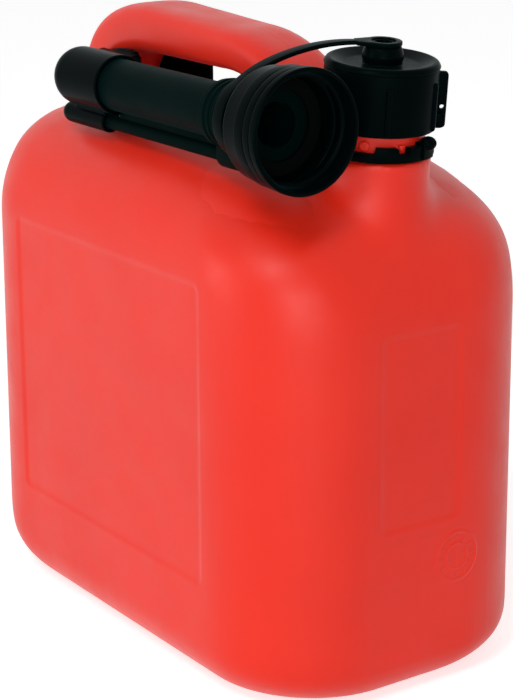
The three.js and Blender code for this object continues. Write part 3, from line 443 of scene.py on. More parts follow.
def tank(offset, floor, steps=18):
    ceiling = DECK_Z - offset
    tallest_foot = max(SIDE_FOOT, REAR_FOOT, FRONT_FOOT) - offset
    tallest = max(SIDE_SHOULDER, REAR_SHOULDER, FRONT_SHOULDER) - offset
    turn = np.linspace(0, math.pi / 2, 2 * steps)
    levels = [*(floor + tallest_foot * (1 - np.cos(turn))), *(ceiling - tallest * (1 - np.sin(turn)))]
    loops = []
    for z in levels:
        def inset(foot, shoulder):
            return (round_inset(foot - offset, floor + foot - offset - z)
                    + round_inset(shoulder - offset, z - (ceiling - shoulder + offset)))
        side = inset(SIDE_FOOT, SIDE_SHOULDER)
        rear = inset(REAR_FOOT, REAR_SHOULDER)
        front = inset(FRONT_FOOT, FRONT_SHOULDER)
        end = CAN_LENGTH / 2 - offset - END_LEAN * z
        half = CAN_WIDTH / 2 - offset - side
        corners = [min(max(CORNER_RADIUS - offset - CORNER_SHRINK * max(i, side), SMALLEST_CORNER), half - 1)
                   for i in (rear, front)]
        loops.append(tank_loop(z, end - rear, end - front, half, *corners, steps=steps))
    return loft(loops)


def bezier(a, b, c, d, steps):
    t = np.linspace(0, 1, steps + 1)[:, None]
    a, b, c, d = (np.array(p, float) for p in (a, b, c, d))
    return (1 - t) ** 3 * a + 3 * t * (1 - t) ** 2 * b + 3 * t * t * (1 - t) * c + t ** 3 * d


def handle_line():
    rear = LEG_REAR_X + HANDLE_THICKNESS / 2
    front = NECK_X - LUG_RADIUS - HANDLE_FRONT_GAP - HANDLE_THICKNESS / 2
    foot, bend = DECK_Z - HANDLE_ROOT, DECK_Z + HANDLE_BEND_START
    bar = CAN_HEIGHT - HANDLE_THICKNESS / 2
    low = bar - BAR_FALL
    rear_bend = bezier((rear, bend), (rear + 1, bar - HANDLE_BEND_SHOULDER),
                       (rear + REAR_BEND / 3, bar), (rear + REAR_BEND, bar), 60)
    front_bend = bezier((front - FRONT_BEND, low), (front - FRONT_BEND / 2, low),
                        (front - 2, low - HANDLE_BEND_SHOULDER), (front, bend), 60)
    line = np.vstack(([(rear - 2, foot)], rear_bend, front_bend, [(front + 1, foot)]))
    return line, rear, front


def handle(stations=110, sides=56):
    line, _, _ = handle_line()
    run = np.concatenate(([0], np.cumsum(np.linalg.norm(np.diff(line, axis=0), axis=1))))
    at = np.linspace(0, run[-1], stations)
    centre = np.column_stack([np.interp(at, run, line[:, k]) for k in (0, 1)])
    along = np.gradient(centre, axis=0)
    along /= np.linalg.norm(along, axis=1)[:, None]
    angle = np.linspace(0, 2 * math.pi, sides, endpoint=False)
    across = np.sign(np.cos(angle)) * np.abs(np.cos(angle)) ** HANDLE_SOFTNESS
    outward = np.sign(np.sin(angle)) * np.abs(np.sin(angle)) ** HANDLE_SOFTNESS
    loops = []
    for s, (x, z), (tx, tz) in zip(at, centre, along):
        flare = max(0, 1 - min(s, run[-1] - s) / FLARE_LENGTH) ** 2
        wide = HANDLE_WIDTH / 2 + FLARE_WIDTH * flare
        thick = HANDLE_THICKNESS / 2 + FLARE_THICKNESS * flare
        above = fade_in(z - DECK_Z, BAR_START, BAR_FADE)
        slim = above * np.interp(x, BAR_ENDS, (-BAR_SWELL, BAR_THINNING))
        depth = np.where(outward < 0, thick - slim, thick)
        loops.append(np.column_stack((x - tz * depth * outward, wide * across, z + tx * depth * outward)))
    return loft(loops)


def smooth_step(x):
    x = np.clip(x, 0, 1)
    return x * x * (3 - 2 * x)


def fade_in(x, start, length):
    return smooth_step((x - start) / length)


def fade_out(x, end, length):
    return smooth_step((end - x) / length)


def field(u, v, u0, v0, u1, v1, corner):
    """Signed distance to a rounded rectangle, negative inside."""
    du = np.abs(u - (u0 + u1) / 2) - (u1 - u0) / 2 + corner
    dv = np.abs(v - (v0 + v1) / 2) - (v1 - v0) / 2 + corner
    return np.minimum(np.maximum(du, dv), 0) + np.hypot(np.maximum(du, 0), np.maximum(dv, 0)) - corner


def panel_edge(p):
    away = np.where(np.abs(p[:, 1]) > CAN_WIDTH / 2 - 3, 0, 99)
    return field(p[:, 0], p[:, 2], -PANEL_HALF, PANEL_BOTTOM, PANEL_HALF, PANEL_TOP, FIELD_CORNER) + away


def on_front(p):
    at_end = p[:, 0] > CAN_LENGTH / 2 - END_LEAN * p[:, 2] - 4
    return at_end & (p[:, 2] > FRONT_FOOT) & (p[:, 2] < PLATE_TOP + 12)


def plate_edge(p):
    away = np.where(on_front(p), 0, 99)
    return field(p[:, 1], p[:, 2], -PLATE_HALF, PLATE_BOTTOM, PLATE_HALF, PLATE_TOP, FIELD_CORNER) + away


def base_edge(p):
    away = np.where(p[:, 2] < 1, 0, 99)
    half = CAN_WIDTH / 2 - SIDE_FOOT - BASE_RIM
    return field(p[:, 0], p[:, 1], -CAN_LENGTH / 2 + REAR_FOOT + BASE_RIM, -half,
                 CAN_LENGTH / 2 - FRONT_FOOT - BASE_RIM, half, BASE_CORNER) + away


def dial_polar(p):
    reach = np.hypot(p[:, 1] - DIAL_Y, p[:, 2] - DIAL_Z) + np.where(on_front(p), 0, 99)
    return reach, np.arctan2(p[:, 2] - DIAL_Z, p[:, 1] - DIAL_Y)


def ridge(distance, width):
    return smooth_step(1 - np.abs(distance) / width)


def in_neck_frame(p):
    m = np.array(NECK.inverted())
    q = p @ m[:3, :3].T + m[:3, 3]
    return np.hypot(q[:, 0], q[:, 1]), q[:, 2]


def can_shell():
    t = np.linspace(0, 1, 14)
    flare = [(CONE_BOTTOM + (CONE_TOP - CONE_BOTTOM) * (1 - (1 - s) ** 2),
              -CONE_DEPTH + (RING_SEAT + CONE_DEPTH) * s) for s in t]
    angles = np.linspace(0, 2 * math.pi, 96, endpoint=False)
    cone = loft([np.column_stack((r * np.cos(angles), r * np.sin(angles), np.full(96, h))) for r, h in flare])
    obj = fused("can_shell", joined(tank(0, 0), handle(), moved(cone, NECK)), BODY_VOXEL)
    mesh = obj.data

    # The side shoulders fall away towards the neck
    p = points_of(mesh)
    beside = fade_in(np.abs(p[:, 1]), *FALL_Y) * fade_in(p[:, 0], *FALL_X)
    p[:, 2] -= FRONT_FALL * beside * fade_in(p[:, 2], *FALL_Z)
    set_points(mesh, p)

    # Soft hollows where the handle and the neck grow out of the tank
    _, rear, front = handle_line()
    weights = np.full(len(p), 0.0)
    for x in (rear, front):
        foot = np.hypot((p[:, 0] - x) / (HANDLE_THICKNESS / 2 + FOOT_REACH),
                        p[:, 1] / (HANDLE_WIDTH / 2 + FOOT_REACH))
        level = fade_out(np.abs(p[:, 2] - DECK_Z - FOOT_MIDDLE), FOOT_HALF, FOOT_FADE)
        weights = np.maximum(weights, fade_out(foot, FOOT_EDGE, FOOT_EDGE_FADE) * level)
    reach, height = in_neck_frame(p)
    around = fade_out(reach, CONE_BOTTOM + NECK_BLEND_REACH, NECK_BLEND_FADE)
    around *= fade_out(height, NECK_BLEND_TOP, NECK_BLEND_TOP_FADE)
    around *= fade_in(height, -NECK_BLEND_DEPTH, NECK_BLEND_LOW_FADE)
    relax(mesh, weights, FOOT_ROUNDS)
    relax(mesh, NECK_BLEND * around, NECK_ROUNDS)
    relax(mesh, np.full(len(p), 1.0), EVEN_ROUNDS, keep_volume=True)

    # Opening under the neck tube
    bm = bmesh.new()
    bm.from_mesh(mesh)
    reach, height = in_neck_frame(points_of(mesh))
    gone = [v for v in bm.verts if reach[v.index] < NECK_BORE + 0.6 and height[v.index] > RING_SEAT - 3]
    bmesh.ops.delete(bm, geom=gone, context="VERTS")
    bm.to_mesh(mesh)
    bm.free()

    # Sunk fields, dial and mould seam
    def detail(q):
        near = (np.abs(panel_edge(q)) < FIELD_MARGIN) | (np.abs(plate_edge(q)) < FIELD_MARGIN)
        near |= np.abs(base_edge(q)) < BASE_MARGIN
        near |= (dial_polar(q)[0] < DIAL_RADIUS + DIAL_MARGIN) | (np.abs(q[:, 1]) < SEAM_MARGIN)
        return near
    refine(mesh, detail, 2)
    p, n = points_of(mesh), normals_of(mesh)
    sink = PANEL_DEPTH * smooth_step(-panel_edge(p) / FIELD_SLOPE)
    sink += PLATE_DEPTH * smooth_step(-plate_edge(p) / FIELD_SLOPE)
    sink += BASE_RECESS * smooth_step(-base_edge(p) / (2 * FIELD_SLOPE))
    reach, angle = dial_polar(p)
    between = (reach > DIAL_INNER + TICK_GAP) & (reach < DIAL_RADIUS - TICK_GAP)
    ticks = ridge((angle * TICK_COUNT / 2 / math.pi + 0.5) % 1 - 0.5, TICK_WIDTH) * between
    raised = DIAL_RIM_HEIGHT * ridge(reach - DIAL_RADIUS, DIAL_RIM)
    raised += DIAL_HUB_HEIGHT * ridge(reach - DIAL_INNER, DIAL_HUB) + TICK_HEIGHT * ticks
    raised += POINTER_HEIGHT * ridge(p[:, 1] - DIAL_Y, POINTER_WIDTH) * (reach < DIAL_INNER - POINTER_GAP)
    reach, height = in_neck_frame(p)
    seam = (reach > CONE_BOTTOM) & (plate_edge(p) > FIELD_SLOPE) & (base_edge(p) > 0)
    raised += SEAM_HEIGHT * ridge(p[:, 1], SEAM_WIDTH) * seam
    p += n * (raised - sink)[:, None]
    lo, hi = (np.array(c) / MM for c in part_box("can_body"))
    set_points(mesh, np.clip(p, lo, hi))
    return finish_piece(obj, "can", "red_plastic", red, "can_body", sharp=80)


can_shell()

inside = [(NECK_BORE + (CONE_BOTTOM - CONE_TOP) * s * s, RING_SEAT - (RING_SEAT + CONE_DEPTH - WALL) * s)
          for s in np.linspace(0, 1, 8)]
funnel = moved(lathe(inside, False, turns=64), NECK)
piece("tank_lining", joined(tank(WALL, BASE_RECESS + WALL, steps=8), funnel), "can", "red_plastic", red)

neck = lathe(ring_profile(NECK_BORE, NECK_RADIUS, RING_SEAT - 4, NECK_TOP), True, 0.7)


def on_neck(form, angle):
    turn = Matrix.Rotation(math.radians(angle), 4, "Z")
    return moved(form, turn @ Matrix.Translation((NECK_RADIUS, 0, STOP_HEIGHT)) @ ALONG_X)


stud = lathe([(0, -0.4), (STUD_RADIUS, -0.4), (STUD_RADIUS, STOP_REACH), (0, STOP_REACH)], False, 0.4, 32)
stud = on_neck(stud, STUD_ANGLE)
corners = [(TOOTH_RADIUS * math.cos(a), TOOTH_RADIUS * math.sin(a)) for a in np.radians((0, 120, 240))]
tooth = on_neck(plate([corners], -0.4, STOP_REACH, 0.2), TOOTH_ANGLE)
piece("neck_screw", moved(joined(neck, thread(NECK_RADIUS, 0.9, SKIRT + 4, 2.6, 2.4), stud, tooth), NECK),
      "can", "red_plastic", red)


# Lock ring with raised guards, and its pawl

def lock_ring():
    """A ring whose top edge steps up at two guards, one of them slotted for the pawl."""
    turns = 480
    loops = []
    for a in np.linspace(0, 360, turns, endpoint=False):
        from_pawl = abs((a - PAWL_ANGLE + 180) % 360 - 180)
        from_guard = abs((a - GUARD_MIDDLE + 180) % 360 - 180)
        rise = max(smooth_step(PAWL_GUARD - from_pawl), smooth_step(GUARD_HALF - from_guard))
        top = RING_BASE + (RING_TOP - RING_BASE) * rise
        if math.radians(from_pawl) * RING_OUTER < PAWL_SLOT / 2:
            top = RING_LOW + SLOT_FLOOR
        ring = soften(ring_profile(RING_INNER, RING_OUTER, RING_LOW, top), 0.5, closed=True, steps=2)
        c, s = math.cos(math.radians(a)), math.sin(math.radians(a))
        loops.append(np.array([(r * c, r * s, h) for r, h in ring]))
    return np.vstack(loops), grid_faces(turns, len(loops[0]), wrap_rows=True)


piece("lock_ring_guarded", moved(lock_ring(), NECK), "can", "black_plastic", black, "lock_ring", sharp=40)

pawl = nodes["lock_pawl"].data
pawl_form = (points_of(pawl), [tuple(f.vertices) for f in pawl.polygons])


def apron():
    """The skin of the pawl that hangs down in front of its slot."""
    spread = math.degrees(PAWL_SLOT / 2 / RING_OUTER)
    wall = rectangle(APRON_GAP, RING_LOW + 0.3, APRON_GAP + APRON_WALL, RING_TOP, 0.2, 2)
    section = [(r + RING_OUTER, h) for r, h in wall]
    loops = []
    for a in np.radians(np.linspace(PAWL_ANGLE - spread, PAWL_ANGLE + spread, 9)):
        loops.append(np.array([(r * math.cos(a), r * math.sin(a), h) for r, h in section]))
    return moved(loft(loops), NECK)


pawl_skin = fused("lock_pawl_pad", joined(pawl_form, apron()), PAWL_VOXEL)
relax(pawl_skin.data, np.full(len(pawl_skin.data.vertices), 1.0), PAWL_ROUNDS)
finish_piece(pawl_skin, "pawl", "black_plastic", black, "lock_pawl", sharp=80)


# Cap

def rib():
    """A half-round upright bar with round ends."""
    low, high, round_end = SKIRT + RIB_FROM_BOTTOM, CAP_TOP - RIB_FROM_TOP, RIB_WIDTH / 2
    swell = np.sin(np.linspace(0.1, math.pi / 2, 6))
    climb = round_end * (1 - np.sqrt(1 - swell ** 2))
    heights = [*(low + climb), *(high - climb[::-1])]
    loops = []
    for h, scale in zip(heights, [*swell, *swell[::-1]]):
        half_round = [(RIB_REACH * scale * math.cos(a), round_end * scale * math.sin(a))
                      for a in np.linspace(-math.pi / 2, math.pi / 2, 9)]
        section = [(-0.5, -round_end * scale), *half_round, (-0.5, round_end * scale)]
        loops.append(np.array([(CAP_OUTER + out, wide, h) for out, wide in section]))
    return loft(loops)


def lug():
    """Side lug with a thicker foot and a small eye above it."""
    foot_radius = math.sqrt(LUG_RADIUS ** 2 - (LUG_FOOT_THICKNESS / 2) ** 2)
    blade = rectangle(CAP_OUTER - LUG_CORNER, SKIRT, LUG_RADIUS, SKIRT + LUG_HEIGHT, LUG_CORNER)
    eye = round_hole((CAP_OUTER + LUG_RADIUS) / 2, SKIRT + LUG_FOOT_HEIGHT + 2 * LUG_HOLE, LUG_HOLE)
    foot = rectangle(CAP_OUTER - LUG_FOOT_CORNER, SKIRT, foot_radius, SKIRT + LUG_FOOT_HEIGHT,
                     1.4 * LUG_FOOT_CORNER)
    both = joined(plate([blade, eye], -LUG_THICKNESS / 2, LUG_THICKNESS / 2, 0.35),
                  plate([foot], -LUG_FOOT_THICKNESS / 2, LUG_FOOT_THICKNESS / 2, 1.1))
    return moved(both, Matrix.Rotation(math.radians(LUG_ANGLE), 4, "Z") @ Matrix.Rotation(math.pi / 2, 4, "X"))


def cap():
    rim, crest = CAP_TOP - RIM_HEIGHT, CAP_OUTER - RIM_WIDTH
    inside = [(0, CAP_CEILING), (CAP_INNER, CAP_CEILING), (CAP_INNER, SKIRT)]
    skirt = [(CAP_OUTER, SKIRT), (CAP_OUTER, rim - 2 * RIM_STEP), (CAP_OUTER - RIM_STEP, rim - RIM_STEP)]
    top = [(CAP_OUTER + RIM_STEP, rim), (CAP_OUTER + RIM_STEP, CAP_TOP - RIM_WIDTH),
           (CAP_OUTER - 0.5, CAP_TOP - 0.5), (crest, CAP_TOP), (crest - DISH_SLOPE, CAP_FLOOR)]
    knob = [(KNOB_BASE_RADIUS, CAP_FLOOR), (KNOB_RADIUS, 0.55 * CAP_FLOOR + 0.45 * KNOB_TOP),
            (KNOB_TOP_RADIUS, KNOB_TOP)]
    post = [(POST_RADIUS, KNOB_TOP), (POST_RADIUS, POST_TOP), (POST_BORE, POST_TOP), (POST_BORE, POST_FLOOR),
            (0, POST_FLOOR)]
    shell = lathe([*inside, *skirt, *top, *knob, *post], False, 0.8, 120)
    ribs = [moved(rib(), Matrix.Rotation(2 * math.pi * (i - 0.5) / RIB_COUNT, 4, "Z"))
            for i in range(RIB_COUNT)]
    screw = thread(CAP_INNER, -0.9, SKIRT + 4 + THREAD_PITCH / 2, 2.2, 2.2)
    return joined(shell, *ribs, lug(), screw)


piece("screw_cap", moved(cap(), NECK), "cap", "black_plastic", black, "cap_shell", sharp=45)


# Strap: eyelet, two halves of the band and the ring round the spout

def band_line(steps=64):
    middle = (EYELET_LOW + EYELET_TOP) / 2
    out = Vector((-math.sin(STRAP_AIM), -math.cos(STRAP_AIM), 0))
    start = NECK @ (out * (EYELET_RADIUS + STRAP_TAB) + Vector((0, 0, middle)))
    out = NECK.to_3x3() @ out
    ring = GRIP_RADIUS + CLEARANCE + STRAP_RIM
    tab = math.sqrt((ring + CLEARANCE) ** 2 - (ring - STRAP_THICKNESS) ** 2)
    turn = Matrix.Rotation(RING_TAB_ANGLE, 3, "X")
    centre = Vector((STRAP_RING_X + STRAP_WIDTH / 2, SPOUT_Y, SPOUT_Z))
    end = turn @ Vector((0, tab, ring - STRAP_THICKNESS / 2)) + centre
    into = turn @ Vector((0, -1, 0))
    span = (start - end).length
    line = bezier(start, start + out * span * STRAP_BULGE, end - into * span * RING_BULGE, end, steps)
    return line, tab, ring


def band(line):
    along = np.gradient(line, axis=0)
    along /= np.linalg.norm(along, axis=1)[:, None]
    section = rectangle(-STRAP_WIDTH / 2, -STRAP_THICKNESS / 2, STRAP_WIDTH / 2, STRAP_THICKNESS / 2, 0.5, 3)
    loops = []
    for centre, t in zip(line, along):
        across = np.array((1.0, 0, 0)) - t * t[0]
        across /= np.linalg.norm(across)
        up = np.cross(across, t)
        loops.append(np.array([centre + across * w + up * h for w, h in section]))
    return loft(loops)


# The cap's end of the band stays level until it has passed the cap's rim, and bends down beyond it
line, tab, strap_ring_radius = band_line()
past_rim, split = int(PAST_RIM * len(line)), int(HALVES_MEET * len(line))
upper = band(line[:split + BLEND_MARGIN])
upper = piece("strap_band_cap_half", upper, None, "strap_plastic", soft, "strap_band")
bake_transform(upper)
lower = piece("strap_band_spout_half", band(line[split:]), None, "strap_plastic", soft, "strap_band")
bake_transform(lower)

round_part = [(EYELET_RADIUS * math.cos(a), EYELET_RADIUS * math.sin(a))
              for a in np.linspace(EYELET_TAPER - math.pi / 2, 1.5 * math.pi - EYELET_TAPER, 48)]
tip = -EYELET_RADIUS - STRAP_TAB
teardrop = [*round_part, (-STRAP_WIDTH / 2, tip), (STRAP_WIDTH / 2, tip)]
eyelet = plate([teardrop, round_hole(0, 0, EYELET_HOLE, 48)], EYELET_LOW, EYELET_TOP, 0.4)
piece("strap_eyelet_loop", moved(eyelet, NECK @ Matrix.Rotation(-STRAP_AIM, 4, "Z")),
      "tether_end", "strap_plastic", soft, "strap_eyelet")

ring = lathe(ring_profile(GRIP_RADIUS + CLEARANCE, strap_ring_radius, 0, STRAP_WIDTH), True, 0.6)
ring = moved(moved(ring, ALONG_X), Matrix.Translation((STRAP_RING_X, 0, 0)))
ring_stub = plate([rectangle(STRAP_RING_X, 0, STRAP_RING_X + STRAP_WIDTH, tab, 0.4, 2)],
                  strap_ring_radius - STRAP_THICKNESS, strap_ring_radius, 0.4)
piece("strap_ring_loop", moved(joined(ring, moved(ring_stub, Matrix.Rotation(RING_TAB_ANGLE, 4, "X"))), SPOUT),
      "spout", "strap_plastic", soft, "strap_ring")


# Spout

def spout_tube():
    pitch = GRIP_LENGTH / (GRIP_RIBS + 1)
    ribs = []
    for i in range(GRIP_RIBS):
        x = GRIP_X + pitch * (i + 1)
        ribs += [(GRIP_RADIUS, x - 0.9), (GRIP_RADIUS + GRIP_RIB_HEIGHT, x - 0.5),
                 (GRIP_RADIUS + GRIP_RIB_HEIGHT, x + 0.5), (GRIP_RADIUS, x + 0.9)]
    rear = [(TUBE_BORE, TIP_X), (TUBE_RADIUS, TIP_X), (TUBE_RADIUS, GRIP_X), (GRIP_RADIUS, GRIP_X)]
    front = [(GRIP_RADIUS, FLANGE_X), (FLANGE_RADIUS, FLANGE_X), (FLANGE_RADIUS, FLANGE_X + FLANGE_THICKNESS),
             (TUBE_BORE, FLANGE_X + FLANGE_THICKNESS)]
    barrel = lathe([*rear, *ribs, *front], True, 0.5)
    arc = [(VENT_BOSS * math.cos(a), -VENT_DROP + VENT_BOSS * math.sin(a))
           for a in np.linspace(math.pi, 2 * math.pi, 17)]
    outline = arc + [(VENT_BOSS, -TUBE_BORE - 1), (-VENT_BOSS, -TUBE_BORE - 1)]
    hole = round_hole(0, -VENT_DROP, VENT_RADIUS + CLEARANCE)
    end_on = Matrix(((0, 0, 1, 0), (1, 0, 0, 0), (0, 1, 0, 0), (0, 0, 0, 1)))
    boss = joined(plate([outline, hole], GRIP_X, GRIP_X + VENT_SEAT, 0.5),
                  plate([outline], GRIP_X + VENT_SEAT - 1, GRIP_X + GRIP_LENGTH, 0.5))
    # A thin black web joins the tube to the air tube; its black also serves as painted shade in the gap that
    # lies in the tube's shadow
    shade_web = rectangle(SOCKET_MOUTH + SHADE_WEB_GAP, -VENT_DROP + VENT_RADIUS / 2, GRIP_X + 1, -TUBE_BORE - 1, 0.4, 2)
    shade_web = plate([shade_web], -SHADE_WEB_THICKNESS / 2, SHADE_WEB_THICKNESS / 2, 0.3)
    upright = Matrix.Rotation(math.pi / 2, 4, "X")
    return joined(moved(barrel, ALONG_X), moved(boss, end_on), moved(shade_web, upright))


piece("pouring_tube", moved(spout_tube(), SPOUT), "spout", "tube_plastic", matte, "spout_tube", sharp=45)

vent_end = GRIP_X + VENT_SEAT - 2 * VENT_BORE - 2.3
vent = lathe(ring_profile(VENT_BORE, VENT_RADIUS, TIP_X - VENT_LONGER, vent_end), True, 0.4, 48)
piece("air_tube", moved(moved(vent, ALONG_X), VENT), "spout", "tube_plastic", matte, "vent_tube")


def collar():
    hole, floor = GRIP_RADIUS + TURN_CLEARANCE, FLANGE_X - TURN_CLEARANCE
    floor_radius = FLANGE_RADIUS + TURN_CLEARANCE
    bands_x = MOUTH_X - sum(BAND_LENGTHS)
    x, radius, bands = bands_x, COLLAR_RADIUS - BAND_STEP * (len(BAND_LENGTHS) - 1), []
    for length in BAND_LENGTHS:
        bands += [(radius - GROOVE_DEPTH, x), (radius, x + GROOVE_WIDTH / 2),
                  (radius, x + length - GROOVE_WIDTH / 2), (radius - GROOVE_DEPTH, x + length)]
        x += length
        radius += BAND_STEP
    cup = lathe([(hole, COLLAR_X), (hole + COLLAR_BACK, COLLAR_X), (floor_radius + COLLAR_WALL, floor), *bands,
                 (CUP_RADIUS + COLLAR_LIP, MOUTH_X), (CUP_RADIUS, MOUTH_X - COLLAR_LEAD), (CUP_RADIUS, bands_x),
                 (floor_radius, floor), (hole, floor)], True, 0.6, 128)
    screw = thread(CUP_RADIUS, -1.3, bands_x + 0.8, 1.9, 2.4, 72)
    return moved(joined(cup, screw), ALONG_X)


piece("union_collar", moved(collar(), SPOUT), "union_nut", "black_plastic", black, "spout_collar", sharp=45)


# Holder, as one moulding with soft edges

def socket(inner, mouth, floor, nose):
    outer = inner + SOCKET_WALL
    dome = [(outer * math.cos(a), floor - nose * math.sin(a)) for a in np.linspace(0, math.pi / 2, 16)]
    profile = [(0, floor), (inner, floor), (inner, mouth), (outer, mouth), *dome]
    return moved(lathe(profile, False, 0.1, 72), ALONG_X)


def holder():
    half = HANDLE_WIDTH / 2 + CLEARANCE
    outer, back, front = half + CLIP_WALL, LEG_REAR_X - CLEARANCE, LEG_REAR_X + CLIP_LENGTH
    bend = back - CLIP_WALL + CLIP_CORNER
    rear_arc = [(bend - CLIP_CORNER * math.sin(a), (outer - CLIP_CORNER) + CLIP_CORNER * math.cos(a))
                for a in np.linspace(0, math.pi / 2, 10)]
    outline = [(front, -outer), (front, -half), (back, -half), (back, half), (front, half), (front, outer),
               *rear_arc, *[(x, -y) for x, y in reversed(rear_arc)]]
    low = DECK_Z + CLIP_BOTTOM
    clip = plate([outline], low, low + CLIP_HEIGHT, 0.6)
    cheeks = []
    for y in (-outer, outer - CLIP_WALL):
        top = low + CHEEK_HEIGHT
        slope = [(back, low), (front, low), (front, top), (front - CHEEK_FLAT, top),
                 (back, low + CLIP_HEIGHT - 1)]
        side = plate([soften(slope, CHEEK_CORNER, closed=True)], 0, CLIP_WALL, 0.6)
        upright = Matrix.Translation((0, y + CLIP_WALL, 0)) @ Matrix.Rotation(math.pi / 2, 4, "X")
        cheeks.append(moved(side, upright))
    arm_x = LEG_REAR_X + ARM_REAR
    plan = [(arm_x, -outer + 1.5), (arm_x, -outer), (arm_x + ARM_SLANT, SPOUT_Y),
            (arm_x + ARM_SLANT + ARM_LENGTH, SPOUT_Y), (arm_x + ARM_LENGTH, -outer),
            (arm_x + ARM_LENGTH, -outer + 1.5)]
    arm = plate([plan], SPOUT_Z + ARM_TOP - ARM_HEIGHT, SPOUT_Z + ARM_TOP, 1)
    keep = cut_away(arm, SPOUT_Y, SPOUT_Z, TUBE_RADIUS + CLEARANCE + 0.4)
    big = moved(socket(TUBE_RADIUS + CLEARANCE, SOCKET_MOUTH, TIP_X - CLEARANCE, SOCKET_NOSE), SPOUT)
    vent_tip = TIP_X - VENT_LONGER - CLEARANCE
    small = moved(socket(VENT_RADIUS + CLEARANCE, SOCKET_MOUTH - VENT_LONGER, vent_tip, VENT_NOSE), VENT)
    return joined(clip, *cheeks, keep, big, small)


def cut_away(form, y, z, radius):
    """What is left of a form after a round bore along X is taken out of it."""
    body = new_object("kept", mesh_of("kept", form))
    angles = np.linspace(0, 2 * math.pi, 64, endpoint=False)
    bore = loft([np.column_stack((np.full(64, x), y + radius * np.cos(angles), z + radius * np.sin(angles)))
                 for x in (-CAN_LENGTH, CAN_LENGTH)])
    tool = new_object("bore", mesh_of("bore", bore))
    cut = body.modifiers.new("cut", "BOOLEAN")
    cut.operation, cut.object = "DIFFERENCE", tool
    mesh = bpy.data.meshes.new_from_object(body.evaluated_get(bpy.context.evaluated_depsgraph_get()))
    kept = points_of(mesh), [tuple(f.vertices) for f in mesh.polygons]
    bpy.data.objects.remove(body)
    bpy.data.objects.remove(tool)
    return kept


holder_skin = fused("spout_clip", holder(), HOLDER_VOXEL)
relax(holder_skin.data, np.full(len(holder_skin.data.vertices), 1.0), EVEN_ROUNDS, keep_volume=True)
finish_piece(holder_skin, "can", "black_plastic", black, "spout_holder", sharp=80)

for name in ("cap_gasket", "collar_gasket"):
    nodes[name].data.materials.clear()
    nodes[name].data.materials.append(rubber)


# Studio in metres: white floor, soft lamps and the photo's camera

FLOOR_HALF, FLOOR_COLOUR, FLOOR_GLOW, SKY_LEVEL = 8, 0.85, 0.62, 0.38


def white_where_seen(name, lit, strength):
    """A pale surface that also glows for rays from the camera, mirrors and glass, so that it reads white."""
    material = bpy.data.materials.new(name)
    material.use_nodes = True
    tree = material.node_tree
    tree.nodes.clear()
    out = tree.nodes.new("ShaderNodeOutputMaterial")
    diffuse = node(tree, "ShaderNodeBsdfDiffuse", Color=(lit, lit, lit, 1))
    glow = node(tree, "ShaderNodeEmission", Color=(1, 1, 1, 1))
    both = tree.nodes.new("ShaderNodeAddShader")
    tree.links.new(seen(tree, strength), glow.inputs["Strength"])
    tree.links.new(diffuse.outputs[0], both.inputs[0])
    tree.links.new(glow.outputs[0], both.inputs[1])
    tree.links.new(both.outputs[0], out.inputs["Surface"])
    return material


def seen(tree, strength):
    path = tree.nodes.new("ShaderNodeLightPath")
    total = path.outputs["Is Camera Ray"]
    for other in ("Is Glossy Ray", "Is Transmission Ray"):
        larger = tree.nodes.new("ShaderNodeMath")
        larger.operation = "MAXIMUM"
        tree.links.new(total, larger.inputs[0])
        tree.links.new(path.outputs[other], larger.inputs[1])
        total = larger.outputs[0]
    scaled = tree.nodes.new("ShaderNodeMath")
    scaled.operation = "MULTIPLY"
    scaled.inputs[1].default_value = strength
    tree.links.new(total, scaled.inputs[0])
    return scaled.outputs[0]


floor_mesh = bpy.data.meshes.new("floor")
corners = [(x * FLOOR_HALF, y * FLOOR_HALF, 0) for x, y in ((-1, -1), (1, -1), (1, 1), (-1, 1))]
floor_mesh.from_pydata(corners, [], [(0, 1, 2, 3)])
floor = new_object("floor", floor_mesh)
floor_mesh.materials.append(white_where_seen("white_floor", FLOOR_COLOUR, FLOOR_GLOW))

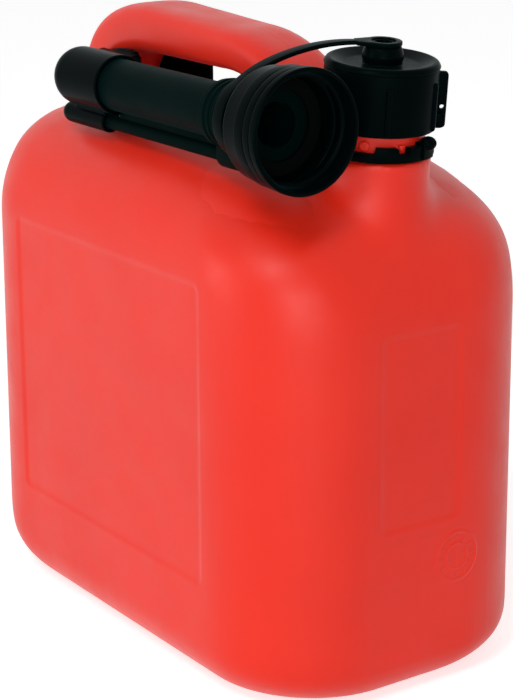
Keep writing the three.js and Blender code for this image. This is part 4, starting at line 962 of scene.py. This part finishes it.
scene = bpy.context.scene
scene.view_settings.view_transform = "Standard"
world = bpy.data.worlds.new("studio")
scene.world = world
world.use_nodes = True
tree = world.node_tree
backdrop = tree.nodes["Background"]
backdrop.inputs["Color"].default_value = (1, 1, 1, 1)
level = tree.nodes.new("ShaderNodeMath")
level.operation = "MAXIMUM"
level.inputs[1].default_value = SKY_LEVEL
tree.links.new(seen(tree, 1), level.inputs[0])
tree.links.new(level.outputs[0], backdrop.inputs["Strength"])


def lamp(name, place, target, size, power):
    light = bpy.data.lights.new(name, "AREA")
    light.shape, light.size, light.size_y = "RECTANGLE", *size
    light.energy = power
    obj = new_object(name, light)
    obj.location = place
    obj.rotation_euler = (Vector(target) - Vector(place)).to_track_quat("-Z", "Y").to_euler()


lamp("front", (-0.45, -1.5, 0.48), (0, 0, 0.12), (0.9, 0.9), 6.6)
lamp("side", (1.35, -0.85, 0.45), (0, 0, 0.12), (0.8, 0.8), 7.8)
lamp("above", (0.6, -0.95, 1.35), (0, 0, 0.15), (0.4, 0.4), 6.6)

AZIMUTH, ELEVATION, ROLL = (math.radians(a) for a in (55.1381, 16.7715, -0.1995))
AIM_Z, DISTANCE, SHIFT_X, SHIFT_Y = 120, 906.6795, 4.983, -2.9114
FOCAL, IMAGE_HEIGHT, SENSOR = 2040.3889, 700, 36
level_reach = math.cos(ELEVATION)
back = Vector((math.sin(AZIMUTH) * level_reach, -math.cos(AZIMUTH) * level_reach, math.sin(ELEVATION)))
right = Vector((math.cos(AZIMUTH), math.sin(AZIMUTH), 0))
up = back.cross(right)
across = math.cos(ROLL) * right + math.sin(ROLL) * up
upright = math.cos(ROLL) * up - math.sin(ROLL) * right
camera = bpy.data.cameras.new("photo_camera")
camera.sensor_width, camera.lens = SENSOR, FOCAL * SENSOR / IMAGE_HEIGHT
camera_object = new_object("photo_camera", camera)
pose = Matrix((across, upright, back)).transposed().to_4x4()
pose.translation = (Vector((0, 0, AIM_Z)) + back * DISTANCE + across * SHIFT_X + upright * SHIFT_Y) * MM
camera_object.matrix_world = pose
scene.camera = camera_object
